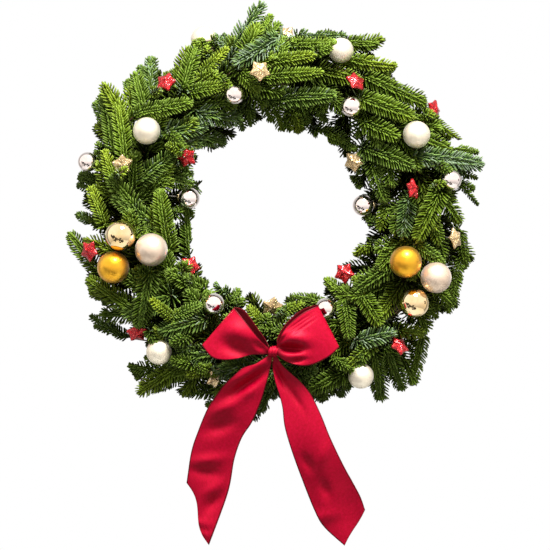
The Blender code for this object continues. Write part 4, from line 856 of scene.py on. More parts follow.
def leader_path(foot, finger, obstacles, bunch):
    """The bunch's main branch: flat on the straw under the wire, then rising clockwise."""
    tip_clock, tip_radius, tip_depth, _ = finger
    low = STRAW_DEPTH + GAP + STEM_RADIUS
    start = foot + BUTT_SWINGS[-1]
    points = list(butt_path(foot))
    for step in range(1, STEM_STEPS + 1):
        share = step / STEM_STEPS
        points.append(spot(
            start + (tip_clock - start) * share,
            RING_RADIUS + (tip_radius * MM - RING_RADIUS) * share ** LEADER_SWING,
            low + (tip_depth * MM - low) * share ** LEADER_LIFT,
        ))
    return settle(np.array(points), len(BUTT_SWINGS), STEM_RADIUS, obstacles, bunch)


def shoot_path(leader, finger, obstacles, bunch):
    """A side shoot: it leaves the leader at a wide angle and bends forward to its tip."""
    tip_clock, tip_radius, tip_depth, start_share = finger
    line = resample(leader, LINE_STEPS + 1)
    index = int(round(start_share * LINE_STEPS))
    start = line[index]
    onward = unit(line[index + 1] - line[index - 1])
    tip = spot(tip_clock, tip_radius * MM, tip_depth * MM)
    reach = np.linalg.norm(tip - start)
    aside = (tip - start) - onward * float((tip - start) @ onward)
    bend = start + unit(SHOOT_BEND[0] * onward + SHOOT_BEND[1] * unit(aside)) * reach * SHOOT_BEND[2]
    points = []
    for step in range(STEM_STEPS + 1):
        t = step / STEM_STEPS
        points.append((1 - t) ** 2 * start + 2 * t * (1 - t) * bend + t * t * tip)
    return settle(np.array(points), 1, SHOOT_RADIUS, obstacles, bunch)


def place_stems(obstacles):
    """The paths of every bunch's leader and side shoots, each bent clear of the rest."""
    for number, (foot, _) in enumerate(BUNCHES):
        obstacles.add_path(butt_path(foot), STEM_RADIUS, number * BUNCH_NUMBERS)
    placed = []
    for number, (foot, fingers) in enumerate(BUNCHES):
        leader = leader_path(foot, fingers[0], obstacles, number)
        paths = [leader]
        obstacles.add_path(resample(leader, LEADER_RODS), STEM_RADIUS, number * BUNCH_NUMBERS)
        for shoot, finger in enumerate(fingers[1:], 1):
            path = shoot_path(leader, finger, obstacles, number)
            paths.append(path)
            obstacles.add_path(resample(path, SHOOT_RODS), SHOOT_RADIUS, number * BUNCH_NUMBERS + shoot)
        placed.append(paths)
    return placed


# Meshes

class Pile:
    """Triangles gathered part by part, each point with a tone of four numbers, for one mesh."""

    def __init__(self):
        self.points = []
        self.faces = []
        self.tones = []
        self.slots = []
        self.size = 0

    def add(self, points, faces, tone=(0, 0, 0, 0), slot=0):
        self.points.append(points)
        self.faces.append(np.asarray(faces) + self.size)
        self.tones.append(np.broadcast_to(tone, (len(points), 4)))
        self.slots.append(np.full(len(faces), slot))
        self.size += len(points)

    def make(self, name, materials, smooth=True):
        points = np.concatenate(self.points)
        faces = np.concatenate(self.faces).astype(np.int32)
        tones = np.concatenate(self.tones)
        mesh = bpy.data.meshes.new(name)
        mesh.vertices.add(len(points))
        mesh.vertices.foreach_set("co", points.astype(np.float32).ravel())
        mesh.loops.add(faces.size)
        mesh.loops.foreach_set("vertex_index", faces.ravel())
        mesh.polygons.add(len(faces))
        mesh.polygons.foreach_set("loop_start", np.arange(0, faces.size, 3, dtype=np.int32))
        mesh.polygons.foreach_set("material_index", np.concatenate(self.slots).astype(np.int32))
        mesh.polygons.foreach_set("use_smooth", np.full(len(faces), smooth))
        tone = mesh.attributes.new("tone", "FLOAT_VECTOR", "POINT")
        tone.data.foreach_set("vector", tones[:, :3].astype(np.float32).ravel())
        under = mesh.attributes.new("under", "FLOAT", "POINT")
        under.data.foreach_set("value", tones[:, 3].astype(np.float32))
        mesh.update(calc_edges=True)
        mesh.validate()
        for material in materials:
            mesh.materials.append(material)
        made = bpy.data.objects.new(name, mesh)
        bpy.context.scene.collection.objects.link(made)
        return made


def frames_along(line):
    """The direction and two square axes at each point of a line, turning as little as they can."""
    tangents = units(np.gradient(line, axis=0))
    side = unit(np.cross(tangents[0], (0.0, 1.0, 0.1)))
    sides = []
    for tangent in tangents:
        side = unit(side - tangent * float(side @ tangent))
        sides.append(side)
    sides = np.array(sides)
    return tangents, sides, np.cross(tangents, sides)


def grid_faces(rows, columns, wrap):
    """Triangles over a grid of points, joined round its columns where wrap is true."""
    spans = columns if wrap else columns - 1
    row, column = np.meshgrid(np.arange(rows - 1), np.arange(spans), indexing="ij")
    a = row * columns + column
    b = row * columns + (column + 1) % columns
    c, d = b + columns, a + columns
    return np.concatenate((np.stack((a, b, c), -1).reshape(-1, 3), np.stack((a, c, d), -1).reshape(-1, 3)))


def tube(line, radii, sides):
    """A round closed tube along a line: its points and triangles."""
    _, side, up = frames_along(line)
    turn = 2 * math.pi * np.arange(sides) / sides
    radii = np.broadcast_to(radii, len(line))[:, None, None]
    ring = side[:, None] * np.cos(turn)[None, :, None] + up[:, None] * np.sin(turn)[None, :, None]
    points = (line[:, None] + ring * radii).reshape(-1, 3)
    faces = grid_faces(len(line), sides, True)
    first, last = len(points), len(points) + 1
    points = np.vstack((points, line[0], line[-1]))
    end = (len(line) - 1) * sides
    after = (np.arange(sides) + 1) % sides
    caps = [(first, after[i], i) for i in range(sides)]
    caps += [(last, end + i, end + after[i]) for i in range(sides)]
    return points, np.vstack((faces, caps))


def turned(profile, steps):
    """A closed body turned round +Z from a half outline of (radius, height), poles included."""
    profile = np.array(profile, dtype=float)
    turn = 2 * math.pi * np.arange(steps) / steps
    inner = profile[1:-1]
    ring = np.stack((np.cos(turn), np.sin(turn)), -1)
    points = np.zeros((len(inner), steps, 3))
    points[:, :, :2] = inner[:, None, None, 0] * ring[None]
    points[:, :, 2] = inner[:, None, 1]
    faces = grid_faces(len(inner), steps, True)
    count = len(inner) * steps
    points = np.vstack((points.reshape(-1, 3), (0, 0, profile[0, 1]), (0, 0, profile[-1, 1])))
    after = (np.arange(steps) + 1) % steps
    caps = [(count, after[i], i) for i in range(steps)]
    caps += [(count + 1, count - steps + i, count - steps + after[i]) for i in range(steps)]
    return points, np.vstack((faces, caps))


def moved(points, matrix):
    matrix = np.array(matrix)
    return points @ matrix[:3, :3].T + matrix[:3, 3]


# Materials

class Recipe:
    """A material built from nodes, one call for each node."""

    def __init__(self, name, **sockets):
        self.material = bpy.data.materials.new(name)
        self.material.use_nodes = True
        self.tree = self.material.node_tree
        self.shader = self.tree.nodes["Principled BSDF"]
        for key, value in sockets.items():
            self.shader.inputs[key.replace("_", " ")].default_value = value

    def node(self, kind, inputs=None, **settings):
        made = self.tree.nodes.new("ShaderNode" + kind)
        for key, value in settings.items():
            setattr(made, key, value)
        for key, value in (inputs or {}).items():
            if isinstance(value, bpy.types.NodeSocket):
                self.tree.links.new(value, made.inputs[key])
            else:
                made.inputs[key].default_value = value
        return made

    def ramp(self, factor, stops):
        """A colour ramp through (position, colour) stops."""
        made = self.node("ValToRGB", {"Fac": factor})
        elements = made.color_ramp.elements
        while len(elements) < len(stops):
            elements.new(0.5)
        for element, (position, colour) in zip(elements, stops):
            element.position = position
            element.color = (*colour, 1)
        return made.outputs["Color"]

    def between(self, value, low, high):
        """A number from 0 to 1 spread between two others."""
        made = self.node("MapRange", {"Value": value, "To Min": low, "To Max": high})
        return made.outputs["Result"]

    def times(self, colour, factor):
        made = self.node("VectorMath", {0: colour}, operation="SCALE")
        self.tree.links.new(factor, made.inputs["Scale"])
        return made.outputs["Vector"]

    def mix(self, factor, first, second):
        made = self.node("Mix", data_type="RGBA")
        for socket, value in zip((made.inputs[0], made.inputs[6], made.inputs[7]), (factor, first, second)):
            if isinstance(value, bpy.types.NodeSocket):
                self.tree.links.new(value, socket)
            else:
                socket.default_value = value
        return made.outputs[2]

    def place(self):
        return self.node("TexCoord").outputs["Object"]

    def noise(self, scale, detail=3.0, vector=None):
        inputs = {"Vector": vector or self.place(), "Scale": scale, "Detail": detail}
        return self.node("TexNoise", inputs).outputs["Fac"]

    def tone(self):
        """The tone of the point: three numbers from 0 to 1."""
        made = self.node("Attribute", attribute_name="tone")
        return self.node("SeparateXYZ", {"Vector": made.outputs["Vector"]}).outputs

    def colour(self, socket):
        self.tree.links.new(socket, self.shader.inputs["Base Color"])

    def rough(self, socket):
        self.tree.links.new(socket, self.shader.inputs["Roughness"])

    def bump(self, height, strength, distance):
        made = self.node("Bump", {"Height": height, "Strength": strength, "Distance": distance})
        self.tree.links.new(made.outputs["Normal"], self.shader.inputs["Normal"])


def needle_material():
    """Waxy needles: the tone holds freshness, a shade that is partly random tone and partly painted
    shade, and the place along the needle, which paints shade at its root and a highlight at its tip.
    """
    recipe = Recipe("needles", Specular_IOR_Level=0.17, Specular_Tint=(0.85, 1.0, 0.3, 1))
    fresh, shade, reach = recipe.tone()
    green = recipe.ramp(fresh, (
        (0.0, (0.105, 0.200, 0.068)),
        (0.35, (0.105, 0.185, 0.016)),
        (0.6, (0.150, 0.245, 0.013)),
        (1.0, (0.280, 0.360, 0.012)),
    ))
    # Painted highlight: needles turn paler towards their tips.
    tips = recipe.ramp(reach, ((0.55, (0, 0, 0)), (1.0, (0.4, 0.4, 0.4))))
    green = recipe.mix(tips, green, (0.31, 0.40, 0.11, 1))
    # Painted shade from the shade tone, then painted shade at the roots and a painted highlight at the tips.
    green = recipe.times(green, recipe.between(shade, -0.08, 1.66))
    green = recipe.times(green, recipe.between(reach, 0.08, 1.42))
    under = recipe.node("Attribute", attribute_name="under").outputs["Fac"]
    bands = recipe.ramp(under, ((0.0, (0, 0, 0)), (0.35, (1, 1, 1)), (0.7, (1, 1, 1)), (0.9, (0, 0, 0))))
    green = recipe.mix(bands, green, (0.34, 0.44, 0.30, 1))
    recipe.colour(green)
    recipe.rough(recipe.between(recipe.noise(300), 0.30, 0.48))
    return recipe.material


def grain_material(name, noise, stops, rough=None, bump=None, **sockets):
    """A plain material whose grain varies its colour and, where they are given, gloss and height."""
    recipe = Recipe(name, **sockets)
    grain = recipe.noise(*noise)
    recipe.colour(recipe.ramp(grain, stops))
    if rough:
        recipe.rough(recipe.between(grain, *rough))
    if bump:
        recipe.bump(grain, *bump)
    return recipe.material


def straw_material():
    recipe = Recipe("straw", Specular_IOR_Level=0.4)
    _, shade, _ = recipe.tone()
    grain = recipe.noise(260, 4)
    # The shade tone is random for each stalk; the ring's body beneath them is set low, as painted shade in
    # the gaps.
    colour = recipe.ramp(shade, (
        (0.0, (0.10, 0.055, 0.02)), (0.5, (0.46, 0.31, 0.12)), (1.0, (0.80, 0.63, 0.34)),
    ))
    colour = recipe.times(colour, recipe.between(grain, 0.7, 1.2))
    recipe.colour(colour)
    recipe.rough(recipe.between(grain, 0.4, 0.75))
    recipe.bump(recipe.noise(900, 4), 0.35, 0.3 * MM)
    return recipe.material


def bauble_material(name, colour, dark, roughness, metallic, coat, ripple):
    """A lacquered or mirrored ball, slightly uneven in colour, gloss and roundness."""
    recipe = Recipe(name, Metallic=metallic, Coat_Weight=coat, Coat_Roughness=0.12, Sheen_Weight=1 - metallic)
    cloud = recipe.noise(60, 3)
    recipe.colour(recipe.ramp(cloud, ((0.3, dark), (0.65, colour))))
    recipe.rough(recipe.between(recipe.noise(240, 4), roughness * 0.8, roughness * 1.25))
    recipe.bump(recipe.noise(90, 2), ripple, 0.4 * MM)
    return recipe.material


def glitter_material(name, dark, colour, bright):
    """Glitter: tiny flakes, each with its own shade and lean."""
    recipe = Recipe(name, Metallic=0.75, Coat_Weight=0.5, Coat_Roughness=0.1)
    flakes = recipe.node("TexVoronoi", {"Vector": recipe.place(), "Scale": 1050.0})
    shade = recipe.node("SeparateXYZ", {"Vector": flakes.outputs["Color"]}).outputs
    recipe.colour(recipe.ramp(shade[0], ((0.0, dark), (0.45, colour), (0.86, colour), (1.0, bright))))
    recipe.rough(recipe.between(shade[1], 0.12, 0.5))
    recipe.bump(shade[2], 0.8, 0.5 * MM)
    return recipe.material


def satin_material(name, dark, colour, metallic, low, high):
    """One face of the ribbon: fine threads along its length, a dark edge weave, and painted shade round the
    knot.
    """
    recipe = Recipe(name, Specular_IOR_Level=0.12, Anisotropic=0.3, Metallic=metallic)
    across, run, edge = recipe.tone()
    threads = recipe.node("CombineXYZ", {"X": across, "Y": run}).outputs["Vector"]
    warp = recipe.node("TexWave", {"Vector": threads, "Scale": 60.0, "Distortion": 1.5, "Detail": 2.0})
    mottle = recipe.noise(14, 4, threads)
    satin = recipe.times(recipe.ramp(mottle, ((0.3, dark), (0.7, colour))),
                         recipe.between(recipe.noise(1600, 2), 0.72, 1.28))
    # The edge weave's own dark colour, and painted shade round the knot.
    woven_edge_and_knot_shade = recipe.ramp(edge, ((0.0, (0, 0, 0)), (0.25, (0, 0, 0)), (0.6, (1, 1, 1))))
    recipe.colour(recipe.mix(woven_edge_and_knot_shade, satin, (0.17, 0.002, 0.009, 1)))
    recipe.rough(recipe.between(mottle, low, high))
    recipe.bump(warp.outputs["Fac"], 0.12, 0.1 * MM)
    return recipe.material


def bright_shell_material():
    recipe = Recipe("bright_shell", Base_Color=(0, 0, 0, 1), Emission_Color=(1.0, 0.95, 0.93, 1))
    uneven = recipe.between(recipe.noise(1.2, 3), 0.8, 1.15)
    height = recipe.node("SeparateXYZ", {"Vector": recipe.place()}).outputs["Z"]
    rise = {
        "Value": height, "From Min": -2.1, "From Max": 0.2,
        "To Min": 0.45 * SHELL_GLOW, "To Max": SHELL_GLOW,
    }
    dimmer = recipe.node("MapRange", rise).outputs["Result"]
    glow = recipe.node("Math", {0: uneven, 1: dimmer}, operation="MULTIPLY").outputs["Value"]
    recipe.tree.links.new(glow, recipe.shader.inputs["Emission Strength"])
    return recipe.material


def make_materials():
    return {
        "needles": needle_material(),
        "bark": grain_material(
            "bark", (700, 5), ((0.3, (0.050, 0.028, 0.014)), (0.7, (0.20, 0.12, 0.055))),
            (0.6, 0.9), (0.5, 0.3 * MM), Specular_IOR_Level=0.3),
        "straw": straw_material(),
        "wire": grain_material(
            "green_wire", (500, 4), ((0.35, (0.02, 0.05, 0.025)), (0.75, (0.06, 0.12, 0.06))),
            (0.25, 0.5), Metallic=0.6, Coat_Weight=0.4),
        "pick": grain_material(
            "pick_wire", (400, 3), ((0.3, (0.30, 0.28, 0.25)), (0.7, (0.55, 0.52, 0.47))),
            (0.25, 0.5), Metallic=1.0),
        "cap": grain_material(
            "bauble_cap", (800, 3), ((0.3, (0.62, 0.47, 0.22)), (0.7, (0.86, 0.70, 0.40))),
            (0.2, 0.4), Metallic=1.0),
        "bauble_cream": bauble_material(
            "cream_pearl", (0.98, 0.90, 0.73), (0.96, 0.86, 0.65), 0.50, 0.85, 0.05, 0.02),
        "bauble_rose": bauble_material(
            "rose_mirror", (0.97, 0.88, 0.84), (0.92, 0.80, 0.74), 0.05, 1.0, 0.0, 0.22),
        "bauble_champagne": bauble_material(
            "champagne_pearl", (0.92, 0.74, 0.57), (0.84, 0.63, 0.45), 0.38, 0.6, 0.12, 0.06),
        "bauble_gold": bauble_material(
            "satin_gold", (0.90, 0.47, 0.025), (0.74, 0.32, 0.008), 0.33, 0.9, 0.1, 0.10),
        "bauble_bright_gold": bauble_material(
            "gold_mirror", (0.98, 0.80, 0.50), (0.92, 0.66, 0.32), 0.05, 1.0, 0.0, 0.22),
        "star_red": glitter_material(
            "red_glitter", (0.24, 0.002, 0.006), (0.64, 0.006, 0.012), (0.95, 0.20, 0.16)),
        "star_gold": glitter_material(
            "gold_glitter", (0.42, 0.26, 0.10), (0.82, 0.60, 0.30), (1.0, 0.92, 0.70)),
        "satin": satin_material(
            "satin", (0.50, 0.001, 0.021), (0.62, 0.0013, 0.036), 0.1, 0.42, 0.50),
        # The ribbon's back: matte like a single-face satin's back, and coloured far below the front, which
        # paints the shade inside the loops.
        "satin_back": satin_material(
            "satin_back", (0.09, 0.0004, 0.003), (0.13, 0.0006, 0.005), 0.0, 0.5, 0.7),
        "floor": grain_material(
            "pale_floor", (6, 2), ((0.3, (0.80, 0.80, 0.79)), (0.7, (0.84, 0.84, 0.83))), Roughness=0.8),
        "wall": grain_material(
            "grey_wall", (5, 2), ((0.3, (0.30, 0.30, 0.29)), (0.7, (0.36, 0.36, 0.35))), Roughness=0.9),
        "dark_card": grain_material(
            "dark_card", (4, 2), ((0.3, (0.02, 0.018, 0.016)), (0.7, (0.05, 0.045, 0.04))), Roughness=0.9),
        "bright_shell": bright_shell_material(),
    }


# Pieces

def settle_piece(piece, slot, *nodes):
    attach(piece, BODY)
    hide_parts(*nodes)


def make_straw(materials):
    """The ring's body, rounded and uneven, with stalks of straw bound along it."""
    pile = Pile()
    steps, columns = STRAW_STEPS, STRAW_COLUMNS
    half = [(w * MM, d * MM) for w, d in STRAW_SECTION]
    outline = np.array(half + [(-w, d) for w, d in reversed(half)] + half[:1])
    inner = smooth_section(outline, columns)
    clocks = 360 * np.arange(steps + 1) / steps
    grooves = np.array([groove_clock(i) for i in range(TURNS)])
    tight = np.min(np.abs((clocks[:, None] - grooves + 180) % 360 - 180), axis=1)
    dent = WIRE_DENT * np.exp(-(tight / DENT_WIDTH) ** 2)
    points = np.zeros((steps, columns, 3))
    for row in range(steps):
        swell = STRAW_CORE - dent[row] / (12 * MM) - 0.012 * math.sin(row * 0.9)
        for column, (w, d) in enumerate(inner):
            depth = STRAW_MIDDLE + (d - STRAW_MIDDLE) * swell
            points[row, column] = spot(clocks[row], RING_RADIUS + w * swell, depth)
    points = np.vstack((points.reshape(-1, 3), points[0]))
    # The body under the stalks takes a low tone: painted shade in the gaps between them.
    pile.add(points, grid_faces(steps + 1, columns, True), (0, 0.05, 0, 0))
    for _ in range(STALKS):
        around = rng.uniform(0, columns)
        start = rng.uniform(0, 360)
        span = rng.uniform(*STALK_SPAN)
        drift = rng.uniform(-STALK_DRIFT, STALK_DRIFT)
        radius = rng.uniform(*STALK_RADIUS) * MM
        line = []
        for share in np.linspace(0, 1, 7):
            w, d = section_point(inner, around + drift * share)
            clock = start + span * share
            off = abs((clock / TURN_STEP + 0.5) % 1 - 0.5) * TURN_STEP
            pressed = STALK_PRESSED * math.exp(-(off / DENT_WIDTH) ** 2)
            lift = STRAW_CORE + STALK_LIFT * math.sin(math.pi * share) ** 0.3 - pressed
            depth = max(radius, STRAW_MIDDLE + (d - STRAW_MIDDLE) * lift)
            line.append(spot(clock, RING_RADIUS + w * lift, depth))
        stalk, faces = tube(np.array(line), radius, 5)
        pile.add(stalk, faces, (0, rng.uniform(0.15, 1), 0, 0))
    straw = pile.make("straw_ring_bound", [materials["straw"]])
    settle_piece(straw, "straw", "straw_ring")


def smooth_section(outline, count):
    """Points evenly spaced round a closed outline, its corners rounded a little."""
    steps = np.linalg.norm(np.diff(outline, axis=0), axis=1)
    reach = np.concatenate(([0], np.cumsum(steps)))
    wanted = np.arange(count) / count * reach[-1]
    flat = np.stack([np.interp(wanted, reach, outline[:, axis]) for axis in range(2)], axis=1)
    return flat * 0.6 + (np.roll(flat, 1, axis=0) + np.roll(flat, -1, axis=0)) * 0.2


def section_point(section, place):
    index = int(math.floor(place)) % len(section)
    t = place - math.floor(place)
    return section[index] * (1 - t) + section[(index + 1) % len(section)] * t


def make_wires(materials):
    pile = Pile()
    line = smooth_line(wire_points(), 5)
    pile.add(*tube(line, WIRE_RADIUS, 8))
    wire = pile.make("binding_wire_wound", [materials["wire"]])
    settle_piece(wire, "wire_green", "binding_wire")
    start, end = tie_ends()
    pile = Pile()
    for phase in (0, math.pi):
        shares = np.linspace(0, 1, TIE_STEPS)
        run = start + (end - start) * shares[:, None]
        swing = phase + 2 * math.pi * TIE_TURNS * shares
        run = run + TIE_SWING * (np.cos(swing)[:, None] * (1, 0, 0) + np.sin(swing)[:, None] * (0, 0, 1))
        pile.add(*tube(run, TIE_RADIUS, 8))
    tie = pile.make("bow_wire_twisted", [materials["wire"]])
    settle_piece(tie, "wire_green", "bow_wire")


def make_bauble(place, materials):
    """A ball with a crimped metal cap, on its wire pick."""
    name, _, _, _, _, material = place
    centre, ball, seat = bauble_place(place)
    placed = aim(centre, seat)
    reach = float(np.linalg.norm(seat - centre))
    pile = Pile()
    rises = [math.pi * i / BALL_RINGS for i in range(BALL_RINGS + 1)]
    sphere = [(ball * math.sin(rise), -ball * math.cos(rise)) for rise in rises]
    points, faces = turned(sphere, BALL_STEPS)
    pile.add(moved(points, placed), faces)
    cap = max(CAP_LEAST, CAP_RADIUS * ball * 2)
    foot = math.sqrt(ball * ball - cap * cap) - 0.3 * MM
    top = ball * (1 + CAP_HEIGHT)
    crown = [(0, foot), (cap, foot), (cap * 1.04, foot + 0.5 * MM), (cap * 0.9, top - 0.4 * MM),
             (cap * 0.7, top), (0, top)]
    points, faces = turned(crown, 40)
    crimp = 1 + CAP_CRIMP * np.cos(CAP_CRIMPS * np.arctan2(points[:, 1], points[:, 0]))
    points[:, :2] *= crimp[:, None]
    pile.add(moved(points, placed), faces, slot=1)
    line = np.array([(0, 0, top - 0.5 * MM), (0, 0, (top + reach) / 2), (0, 0, reach)])
    points, faces = tube(line, PICK_RADIUS, 10)
    pile.add(moved(points, placed), faces, slot=2)
    bauble = pile.make("bauble_" + name + "_ball", [materials[material], materials["cap"], materials["pick"]])
    settle_piece(bauble, material, "bauble_" + name)


def star_face(side):
    """One face of a puffed star, as rings from its middle to its rim."""
    rings, steps = 9, 80
    points = np.zeros((rings, steps, 3))
    for index in range(steps):
        turn = 2 * math.pi * index / steps
        place = (turn * 5 / (2 * math.pi)) % 1
        to_tip = abs(place - 0.5) * 2
        outer = star_edge(to_tip)
        for ring in range(rings):
            share = ring / (rings - 1)
            ridge = 0.55 + 0.45 * to_tip ** 1.5
            puff = (STAR_PUFF - STAR_RIM) * (1 - share ** 1.6) * (ridge * share + 1 - share)
            points[ring, index] = (
                outer * share * math.sin(turn), outer * share * math.cos(turn), side * (STAR_RIM * 0.7 + puff)
            )
    return points


def star_edge(to_tip):
    """The star's radius between an inner corner, 0, and a rounded tip, 1."""
    inner, outer = STAR_FAT_INNER, STAR_RADIUS
    angle = math.radians(36) * (1 - to_tip)
    straight = outer * inner * math.sin(math.radians(36)) / (
        inner * math.sin(math.radians(36) - angle) + outer * math.sin(angle))
    return min(straight, outer * STAR_ROUNDED)


def make_star(place, materials):
    """A puffed star crusted with glitter, on its wire pick."""
    name, _, _, _, _, _, material = place
    placed, centre, seat = star_place(place)
    front, back = star_face(1), star_face(-1)[::-1]
    rows = np.concatenate((front, back))
    count, steps = rows.shape[:2]
    crust = 0.28 * MM * rng.uniform(-1, 1, (count, steps, 1))
    outward = units(rows * (0.35, 0.35, 1))
    rows = rows + crust * outward
    rows[0] = rows[0].mean(axis=0)
    rows[-1] = rows[-1].mean(axis=0)
    faces = grid_faces(count, steps, True)[:, ::-1]
    spin, turn, nod = STAR_LEANS[name]
    lean = Matrix.Rotation(math.radians(turn), 4, "Y") @ Matrix.Rotation(math.radians(nod), 4, "X")
    lean = lean @ Matrix.Rotation(math.radians(-spin), 4, "Z")
    pile = Pile()
    pile.add(moved(rows.reshape(-1, 3), placed @ lean), faces)
    line = np.array([centre, (centre + seat) / 2, seat])
    pile.add(*tube(line, PICK_RADIUS, 10), slot=1)
    star = pile.make("star_" + name + "_glitter", [materials[material], materials["pick"]])
    settle_piece(star, material, "star_" + name)


# Ribbon

def fold_height(folds, flat):
    """The sum of the folds at points across the picture in mm, in metres."""
    total = np.zeros(len(flat))
    for x, z, angle, length, width, height in folds:
        run = np.array((math.cos(math.radians(angle)), math.sin(math.radians(angle))))
        off = flat - (x, z)
        on = off @ run / length
        aside = off @ (-run[1], run[0]) / width
        total += height * MM * np.exp(-on * on - aside * aside)
    return total


def ribbon_object(name, rows, closed, materials):
    """A ribbon from a grid of points: rows along it, columns across it, thickened by Solidify."""
    count, columns = rows.shape[:2]
    steps = np.linalg.norm(np.diff(rows[:, columns // 2], axis=0), axis=1)
    run = np.concatenate(([0], np.cumsum(steps))) / RIBBON_WIDTH
    across = np.linspace(0, 1, columns)
    edge = np.clip(1 - np.minimum(across, 1 - across) * 22, 0, 1)
    tones = np.zeros((count, columns, 4))
    tones[..., 0] = across[None]
    tones[..., 1] = run[:, None]
    # Painted shade round the knot, carried in the edge tone together with the dark edge weave.
    aside = (rows[..., 0] - SATIN_KNOT[0] * MM, rows[..., 2] + RING_DROP - SATIN_KNOT[1] * MM)
    knot_painted_shade = KNOT_SHADE * np.exp(-(np.hypot(*aside) / KNOT_SHADE_REACH) ** 2)
    tones[..., 2] = np.maximum(edge[None], knot_painted_shade)
    faces = grid_faces(count, columns, False)
    if closed:
        last = (count - 1) * columns
        seam = [(last + i, last + i + 1, i + 1) for i in range(columns - 1)]
        seam += [(last + i, i + 1, i) for i in range(columns - 1)]
        faces = np.vstack((faces, seam))
    pile = Pile()
    pile.add(rows.reshape(-1, 3), faces, tones.reshape(-1, 4))
    made = pile.make(name, [materials["satin"], materials["satin_back"]])
    solid = made.modifiers.new("thickness", "SOLIDIFY")
    solid.material_offset = 1
    solid.material_offset_rim = 1
    solid.thickness = RIBBON_THICKNESS
    solid.offset = 0
    made.modifiers.new("flat_faces", "WEIGHTED_NORMAL").weight = 100
    return made


def fine_tail(outline, folds, wave):
    """Rows down a tail, from the knot to its slanted, slightly waved cut."""
    rows = []
    for step in range(TAIL_STEPS + 1):
        share = step / TAIL_STEPS
        left, right = along(outline[0], share), along(outline[1], share)
        across = np.linspace(0, 1, ACROSS)
        flat = left + (right - left) * across[:, None]
        cut = (right - left) / np.linalg.norm(right - left)
        swing = wave * share ** 12 * np.sin(2 * math.pi * across)
        flat = flat + swing[:, None] * (-cut[1], cut[0])
        fall = BOW_DEPTH + (TAIL_END_DEPTH - BOW_DEPTH) * share + TAIL_BULGE * math.sin(math.pi * share)
        ripple = SATIN_RIPPLE * min(1.0, share * 4) * np.sin(2 * math.pi * across + 7 * share)
        depth = fall + ripple + fold_height(folds, flat) * min(1.0, share * 12)
        rows.append(np.stack((flat[:, 0] * MM, BACK_Y - depth, flat[:, 1] * MM - RING_DROP), axis=1))
    return np.array(rows)


def fine_loop(front, back, folds):
    """Rows round one loop: over its front from the knot to its outer fold, then along its back."""
    rows = []
    for step in range(2 * LOOP_STEPS + 1):
        turn = math.pi * step / LOOP_STEPS
        share = (1 - math.cos(turn)) / 2
        is_front = step <= LOOP_STEPS
        shape = front if is_front else back
        top, bottom = along(shape[0], share), along(shape[1], share)
        across = np.linspace(0, 1, ACROSS)
        flat = top + (bottom - top) * across[:, None]
        crown = 1 + SATIN_CROWN * np.sin(math.pi * across)
        swell = PINCH * (1 - share) + LOOP_BULGE * abs(math.sin(turn)) * crown
        depth = BOW_DEPTH + (swell if is_front else -swell)
        if is_front:
            depth = depth + fold_height(folds, flat) * (1 - share ** 8)
        rows.append(np.stack((flat[:, 0] * MM, BACK_Y - depth, flat[:, 1] * MM - RING_DROP), axis=1))
    return np.array(rows)


def make_bow(materials):
    """The bow's satin, and the points of its back that the needles stay behind."""
    left = fine_loop(SATIN_LEFT_FRONT, SATIN_LEFT_BACK, LEFT_LOOP_FOLDS)
    right = fine_loop(SATIN_RIGHT_FRONT, SATIN_RIGHT_BACK, RIGHT_LOOP_FOLDS)
    rows = np.concatenate((left[LOOP_STEPS::-1], right, left[:LOOP_STEPS:-1]))
    loops = ribbon_object("bow_loops_satin", rows, True, materials)
    settle_piece(loops, "ribbon_crimson", "bow_loops")
    backs = [left[LOOP_STEPS + 1:], right[LOOP_STEPS + 1:]]
    tails = (
        ("ribbon_tail_left", SATIN_LEFT_TAIL, LEFT_TAIL_FOLDS, CUT_WAVE),
        ("ribbon_tail_right", SATIN_RIGHT_TAIL, RIGHT_TAIL_FOLDS, CUT_WAVE / 6),
    )
    for name, outline, folds, wave in tails:
        rows = fine_tail(outline, folds, wave)[:, ::-1]
        tail = ribbon_object(name + "_satin", rows, False, materials)
        settle_piece(tail, "ribbon_crimson", name)
        backs.append(rows)
    knot = make_knot(materials)
    settle_piece(knot, "ribbon_crimson", "bow_knot")
    return np.concatenate([rows.reshape(-1, 3) for rows in backs])


def make_knot(materials):
    """The wrap round the bow's pinch, with soft pleats that run round it."""
    around_steps, section_steps = 72, 32
    points = np.zeros((around_steps + 1, section_steps, 3))
    tones = np.zeros((around_steps + 1, section_steps, 4))
    for i in range(around_steps + 1):
        around = 2 * math.pi * i / around_steps
        for j in range(section_steps):
            section = 2 * math.pi * j / section_steps
            rise, length = math.cos(section), math.sin(section)
            pleat = 0.5 * max(0.0, rise) * math.sin(4 * math.pi * length + 1.2 * math.sin(2 * around))
            waist = 1 + 0.10 * math.cos(2 * around)
            deep = SATIN_KNOT_OPENING[0] + KNOT_WALL * (1 + rise + pleat)
            tall = SATIN_KNOT_OPENING[1] + KNOT_WALL * (1 + rise + pleat)
            points[i, j] = (
                SATIN_KNOT[0] * MM + length * SATIN_KNOT_HALF_LENGTH * waist + 0.18 * tall * math.sin(around),
                BACK_Y - BOW_DEPTH - 1.0 * MM + deep * math.cos(around),
                SATIN_KNOT[1] * MM - RING_DROP + tall * math.sin(around),
            )
            tones[i, j, :2] = (0.5 + 0.3 * length, i / 20)
    pile = Pile()
    pile.add(points.reshape(-1, 3), grid_faces(around_steps + 1, section_steps, True), tones.reshape(-1, 4))
    return pile.make("bow_knot_satin", [materials["satin"]])


# Fir

